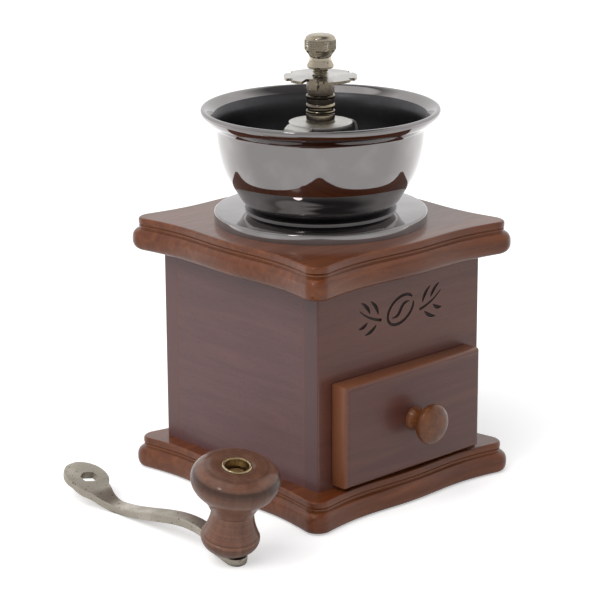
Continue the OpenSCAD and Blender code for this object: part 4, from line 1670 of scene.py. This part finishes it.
@dataclass
class Crank:
    """Forged bar with a hexagonal socket, and the turned knob riveted to its other end.

    It is modelled in the knob's own frame, in millimetres: the knob's axis is Z, and the bar
    runs along Y. Where the bar changes shape is written as a start and a length.
    """

    shop: Workshop
    place: Matrix
    length: float = 96.6
    bar_w: float = 7
    bar_t: float = 3.5
    swell: float = 1.1
    hub_r: float = 9.3
    hub_long: float = 1.27
    hub_shift: float = 2
    hub_hex: float = 7.4
    eye_r: float = 5
    eye_s: float = -4.5
    edge: float = 0.75
    corner_steps: int = 5
    middle_steps: int = 84
    washer_gap: float = 0.5
    jog: float = 2.4
    jog_at: Point2 = (7, 9)
    drop: float = 21.8
    drop_at: Point2 = (16, 70)
    rise: float = 3.95
    rise_at: Point2 = (72, 14)
    swing: float = 2.2
    swing_out: Point2 = (70, 12)
    swing_back: Point2 = (88, 11)
    eye_blend: Point2 = (6, 8)
    hub_blend: Point2 = (74, 24)
    swell_from: float = 8
    swell_to: float = 80
    rivet_r: float = 2.5
    rivet_play: float = 0.08
    rivet_steps: int = 48
    recess_r: float = 5.6
    recess_z: float = 36.2
    rim_z: float = 40.6
    eyelet_r: float = 5.1
    eyelet_h: float = 3.8
    knob: tuple[Point2, ...] = (
        (8.0, 0.1), (9.4, 0.9), (11.3, 2.6), (12.3, 4.4), (12.6, 5.9), (12.5, 6.9), (12.2, 7.3),
        (12.0, 7.5), (12.05, 7.8), (11.7, 8.6), (11.1, 10.0), (10.5, 11.6), (10.0, 13.2),
        (9.6, 14.8), (9.3, 16.4), (9.15, 17.8), (9.0, 18.5), (9.05, 18.7), (9.3, 18.9),
        (9.6, 19.6), (10.4, 21.2), (11.3, 22.8), (12.6, 24.8), (14.6, 27.1),
        (16.9, 29.4), (18.4, 31.8), (19.0, 34.4), (18.7, 36.4), (17.6, 38.3), (15.8, 39.8),
        (13.4, 40.8), (10.8, 41.2), (8.2, 41.1), (6.5, 40.7), (5.6, 40.6),
    )

    def build(self) -> None:
        """Models and fits the crank."""
        self.bar()
        self.handle()
        self.shop.dress(ZINC, "knob_washer")

    def fit(self, piece: Object, slot: Slot, node: str, finish: Finish) -> None:
        """Moves a piece from the knob's frame to its place and fits it.

        Args:
            piece: the object.
            slot: the record's material slot that its finish belongs to.
            node: the construction node.
            finish: its finish.
        """
        piece.matrix_world = self.place
        settle(piece)
        self.shop.fit(piece, slot, node, finish)

    def top(self, s: float) -> float:
        """Height of the bar's upper face.

        Args:
            s: distance from the knob's axis.

        Returns:
            The height.
        """
        fall = self.drop * ease(s, *self.drop_at) - self.rise * ease(s, *self.rise_at)
        return self.jog * ease(s, *self.jog_at) - self.washer_gap - fall

    def thick(self, s: float) -> float:
        """Thickness of the bar.

        Args:
            s: distance from the knob's axis.

        Returns:
            The thickness.
        """
        share = (s - self.swell_from) / (self.swell_to - self.swell_from)
        return self.bar_t + (self.swell * math.sin(math.pi * share) ** 2 if 0 < share < 1 else 0)

    def sides(self, s: float) -> Point2:
        """Edges of the bar in plan.

        Args:
            s: distance from the knob's axis.

        Returns:
            The left and the right edge.
        """
        waist = self.bar_w / 2
        half = (
            waist + (self.eye_r - waist) * (1 - ease(s, *self.eye_blend))
            + (self.hub_r - 0.3 - waist) * ease(s, *self.hub_blend)
        )
        middle = -self.swing * ease(s, *self.swing_out) * (1 - ease(s, *self.swing_back))
        left, right = middle - half, middle + half
        if s < self.eye_s:
            round_end = math.sqrt(max(0.0, self.eye_r ** 2 - (s - self.eye_s) ** 2))
            left, right = -round_end, round_end
        past = s - self.length - self.hub_shift
        share = past / (self.hub_r * self.hub_long)
        if share > -0.95:
            oval = self.hub_r * math.sqrt(max(0.0, 1 - share ** 2))
            left, right = (-oval, oval) if past > -1 else (min(left, -oval), max(right, oval))
        return left, right

    def ends(self) -> Point2:
        """Where the bar starts and ends, from the knob's axis."""
        return self.eye_s - self.eye_r, self.length + self.hub_shift + self.hub_r * self.hub_long

    def stations(self) -> list[float]:
        """Where the bar's sections lie, close together at its ends.

        Returns:
            Their distances from the knob's axis.
        """
        low, high = self.ends()
        near = [low + self.eye_r * (1 - math.cos(math.radians(a))) for a in range(4, 91, 7)]
        reach = self.hub_r * self.hub_long + 1
        far = [high - reach * (1 - math.cos(math.radians(a))) for a in range(88, 3, -7)]
        count = self.middle_steps
        middle = [near[-1] + (far[0] - near[-1]) * k / count for k in range(1, count)]
        return [*near, *middle, *far]

    def section(self, s: float) -> list[Vector]:
        """One rounded cross-section of the bar.

        Args:
            s: its distance from the knob's axis.

        Returns:
            Its points, in metres.
        """
        low_end, high_end = self.ends()
        left, right = self.sides(s)
        upper, lower = self.top(s), self.top(s) - self.thick(s)
        near = min(s - low_end, high_end - s)
        if near < self.edge:
            sink = self.edge - math.sqrt(self.edge ** 2 - (self.edge - near) ** 2)
            upper, lower = upper - sink, lower + sink
        r = min(self.edge, (right - left) / 2 * 0.98)
        points = []
        for cx, cz, start in (
            (right - r, upper - r, 0), (left + r, upper - r, 90),
            (left + r, lower + r, 180), (right - r, lower + r, 270),
        ):
            for k in range(self.corner_steps + 1):
                a = math.radians(start + 90 * k / self.corner_steps)
                points.append(Vector((cx + r * math.cos(a), s, cz + r * math.sin(a))) * MM)
        return points

    def bar(self) -> None:
        """The bar, with its socket and the hole for the rivet."""
        bar = lofted("crank_bar", [self.section(s) for s in self.stations()])
        self.shop.paint(bar, AGED_NICKEL)
        for y, radius, sides in (
            (self.length, self.hub_hex / math.sqrt(3), 6), (0, self.rivet_r, self.rivet_steps),
        ):
            cutter = rod("drift", radius * MM, Vector((0, y, -30)) * MM, 40 * MM, sides)
            carve(bar, self.shop.paint(cutter, AGED_NICKEL))
        shade(bar)
        self.fit(bar, Slot.AGED_NICKEL, "crank_arm", AGED_NICKEL)

    def handle(self) -> None:
        """Knob, eyelet and rivet."""
        bore, floor = self.rivet_r + self.rivet_play, self.recess_z
        outline = [
            (bore, self.knob[0][1]), *curved(self.knob, 3), (self.recess_r, floor), (bore, floor),
        ]
        knob = turned("handle_turned", outline, 128)
        self.fit(knob, Slot.STAINED_WOOD, "crank_knob", HANDLE_WOOD)
        tube, rim, inner = self.recess_r - 0.03, self.rim_z, self.eyelet_r
        lip = curved(
            (
                (tube, rim + 0.03), (6.3, rim + 0.14), (6.35, rim + 0.4), (5.9, rim + 0.8),
                (5.3, rim + 0.6), (inner, rim),
            )
        )
        foot = rim - self.eyelet_h
        eyelet = turned("eyelet_pressed", [(tube, foot), *lip, (inner, foot)])
        self.fit(eyelet, Slot.BRASS, "knob_eyelet", BRASS)
        head, foot = floor + 0.3, -self.washer_gap - self.bar_t
        pin = [
            (0, foot), (self.rivet_r, foot), (self.rivet_r, head), (4.1, head), (4.1, head + 0.5),
            (3.4, head + 1.1), (2, head + 1.5), (0, head + 1.6),
        ]
        self.fit(turned("rivet_turned", pin, 64, loop=False), Slot.ZINC, "knob_rivet", BRASS)


def crank_place(frame: dict) -> Matrix:
    """Place of the crank's own frame, read from the joint that its knob spins on.


    Returns:
        The matrix.
    """
    joints = frame["record"]["behaviour"]["joints"]
    joint = next(joint for joint in joints if joint["name"] == "crank_knob_spin")
    axis = Vector(joint["axis"])
    turn = Matrix.Rotation(math.atan2(-axis.y, axis.z), 4, "X")
    turn = turn @ Matrix.Rotation(math.asin(axis.x), 4, "Y")
    return Matrix.Translation(joint["pos_m"]) @ turn


# ---------------------------------------------------------------- the studio


@dataclass
class Studio:
    """White room, soft lamps and the camera."""

    shop: Workshop
    azimuth: float = -42.368
    elevation: float = 16.564
    roll: float = -0.289
    distance: float = 1.07833
    aside: float = -9.618 * MM
    height: float = 81.695 * MM
    lens: float = 141.02
    floor_size: float = 6.0
    room_light: float = 0.62
    wall_top: float = 0.72
    wall_fade: float = 0.16
    ceiling: float = 0.16
    front_wall: float = 0.62
    lamp_side: tuple[float, float, float] = (-0.22, 0.15, 0.964)
    lamp_tilt: float = 38
    lamp_turn: float = -82
    sun: float = 1.65
    sun_spread: float = 50
    glint: float = 0.2
    glint_spread: float = 9

    def build(self) -> None:
        """Sets up floor, light and camera."""
        bpy.ops.mesh.primitive_grid_add(x_subdivisions=2, y_subdivisions=2, size=self.floor_size)
        floor = started("studio_floor")
        self.shop.paint(floor, FLOOR)
        self.room()
        self.lamps()
        self.camera()

    def room(self) -> None:
        """World that is white where it is seen or mirrored, and softer as light."""
        world = bpy.data.worlds.new("white_room")
        bpy.context.scene.world = world
        world.use_nodes = True
        nodes = Nodes(world.node_tree)
        rays = nodes.add("LightPath").node.outputs
        white = rays["Is Camera Ray"]
        for other in ("Is Glossy Ray", "Is Transmission Ray"):
            white = nodes.add("Math", {0: white, 1: rays[other]}, operation="MAXIMUM")
        level = nodes.add("MapRange", {"Value": white, "To Min": self.room_light, "To Max": 1.0})
        # mirrors show a white backdrop, a paler grey room before it and a dark ceiling with a lamp
        looking = nodes.add("TexCoord", output="Generated")
        up, near, behind = (
            nodes.add("VectorMath", {0: looking, 1: way}, "Value", operation="DOT_PRODUCT")
            for way in ((0, 0, 1), self.lamp_side, BACKDROP)
        )
        stops = ((self.wall_top, 1.0), (self.wall_top + self.wall_fade, self.ceiling))
        wall = nodes.add("ValToRGB", {"Fac": up}, stops=stops)
        ranges = {"From Min": -0.5, "From Max": 0.3, "To Min": self.front_wall, "To Max": 1.0}
        side = nodes.add("MapRange", {"Value": behind, **ranges})
        wall = nodes.add("Math", {0: wall, 1: side}, operation="MULTIPLY")
        patch = nodes.add("ValToRGB", {"Fac": near}, stops=((0.91, 0.0), (0.95, 1.0)))
        shown = nodes.add("Math", {0: wall, 1: patch}, operation="MAXIMUM")
        inputs = {"Fac": rays["Is Glossy Ray"], "Color1": level, "Color2": shown}
        mirrored = nodes.add("MixRGB", inputs)
        room = nodes.add("Background", {"Color": "#ffffff", "Strength": mirrored})
        nodes.add("OutputWorld", {"Surface": room})

    def lamps(self) -> None:
        """One wide soft lamp from the upper left, and a small one that mirrors show."""
        for name, level, spread, mirrored in (
            ("window", self.sun, self.sun_spread, False),
            ("glint", self.glint, self.glint_spread, True),
        ):
            light = bpy.data.lights.new(name, "SUN")
            light.energy = level
            light.angle = math.radians(spread)
            lamp = linked(name, light)
            lamp.rotation_euler = (math.radians(self.lamp_tilt), 0, math.radians(self.lamp_turn))
            lamp.visible_glossy = mirrored

    def camera(self) -> None:
        """Camera a little above the object, looking at the corner of the box."""
        az, el, roll = (math.radians(v) for v in (self.azimuth, self.elevation, self.roll))
        right = Vector((math.cos(az), math.sin(az), 0))
        back = Vector((math.sin(az) * math.cos(el), -math.cos(az) * math.cos(el), math.sin(el)))
        side = right * math.cos(roll) + back.cross(right) * math.sin(roll)
        camera = linked("camera", bpy.data.cameras.new("camera"))
        camera.data.lens = self.lens
        camera.matrix_world = Matrix((side, back.cross(side), back)).transposed().to_4x4()
        camera.location = right * self.aside + Vector((0, 0, self.height)) + back * self.distance
        scene = bpy.context.scene
        scene.camera = camera
        scene.view_settings.view_transform = "Standard"


def main() -> None:
    """Builds the scene in order."""
    logging.basicConfig(level=logging.INFO, format="%(name)s %(message)s")
    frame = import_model()
    bpy.ops.object.select_all(action="DESELECT")
    shop = Workshop()
    WoodenBox(shop, Plate(), Ornament()).build()
    Drawer(shop).build()
    Hopper(shop).build()
    Mill(shop).build()
    Adjuster(shop).build()
    Crank(shop, crank_place(frame)).build()
    Studio(shop).build()


if __name__ == "__main__":
    main()
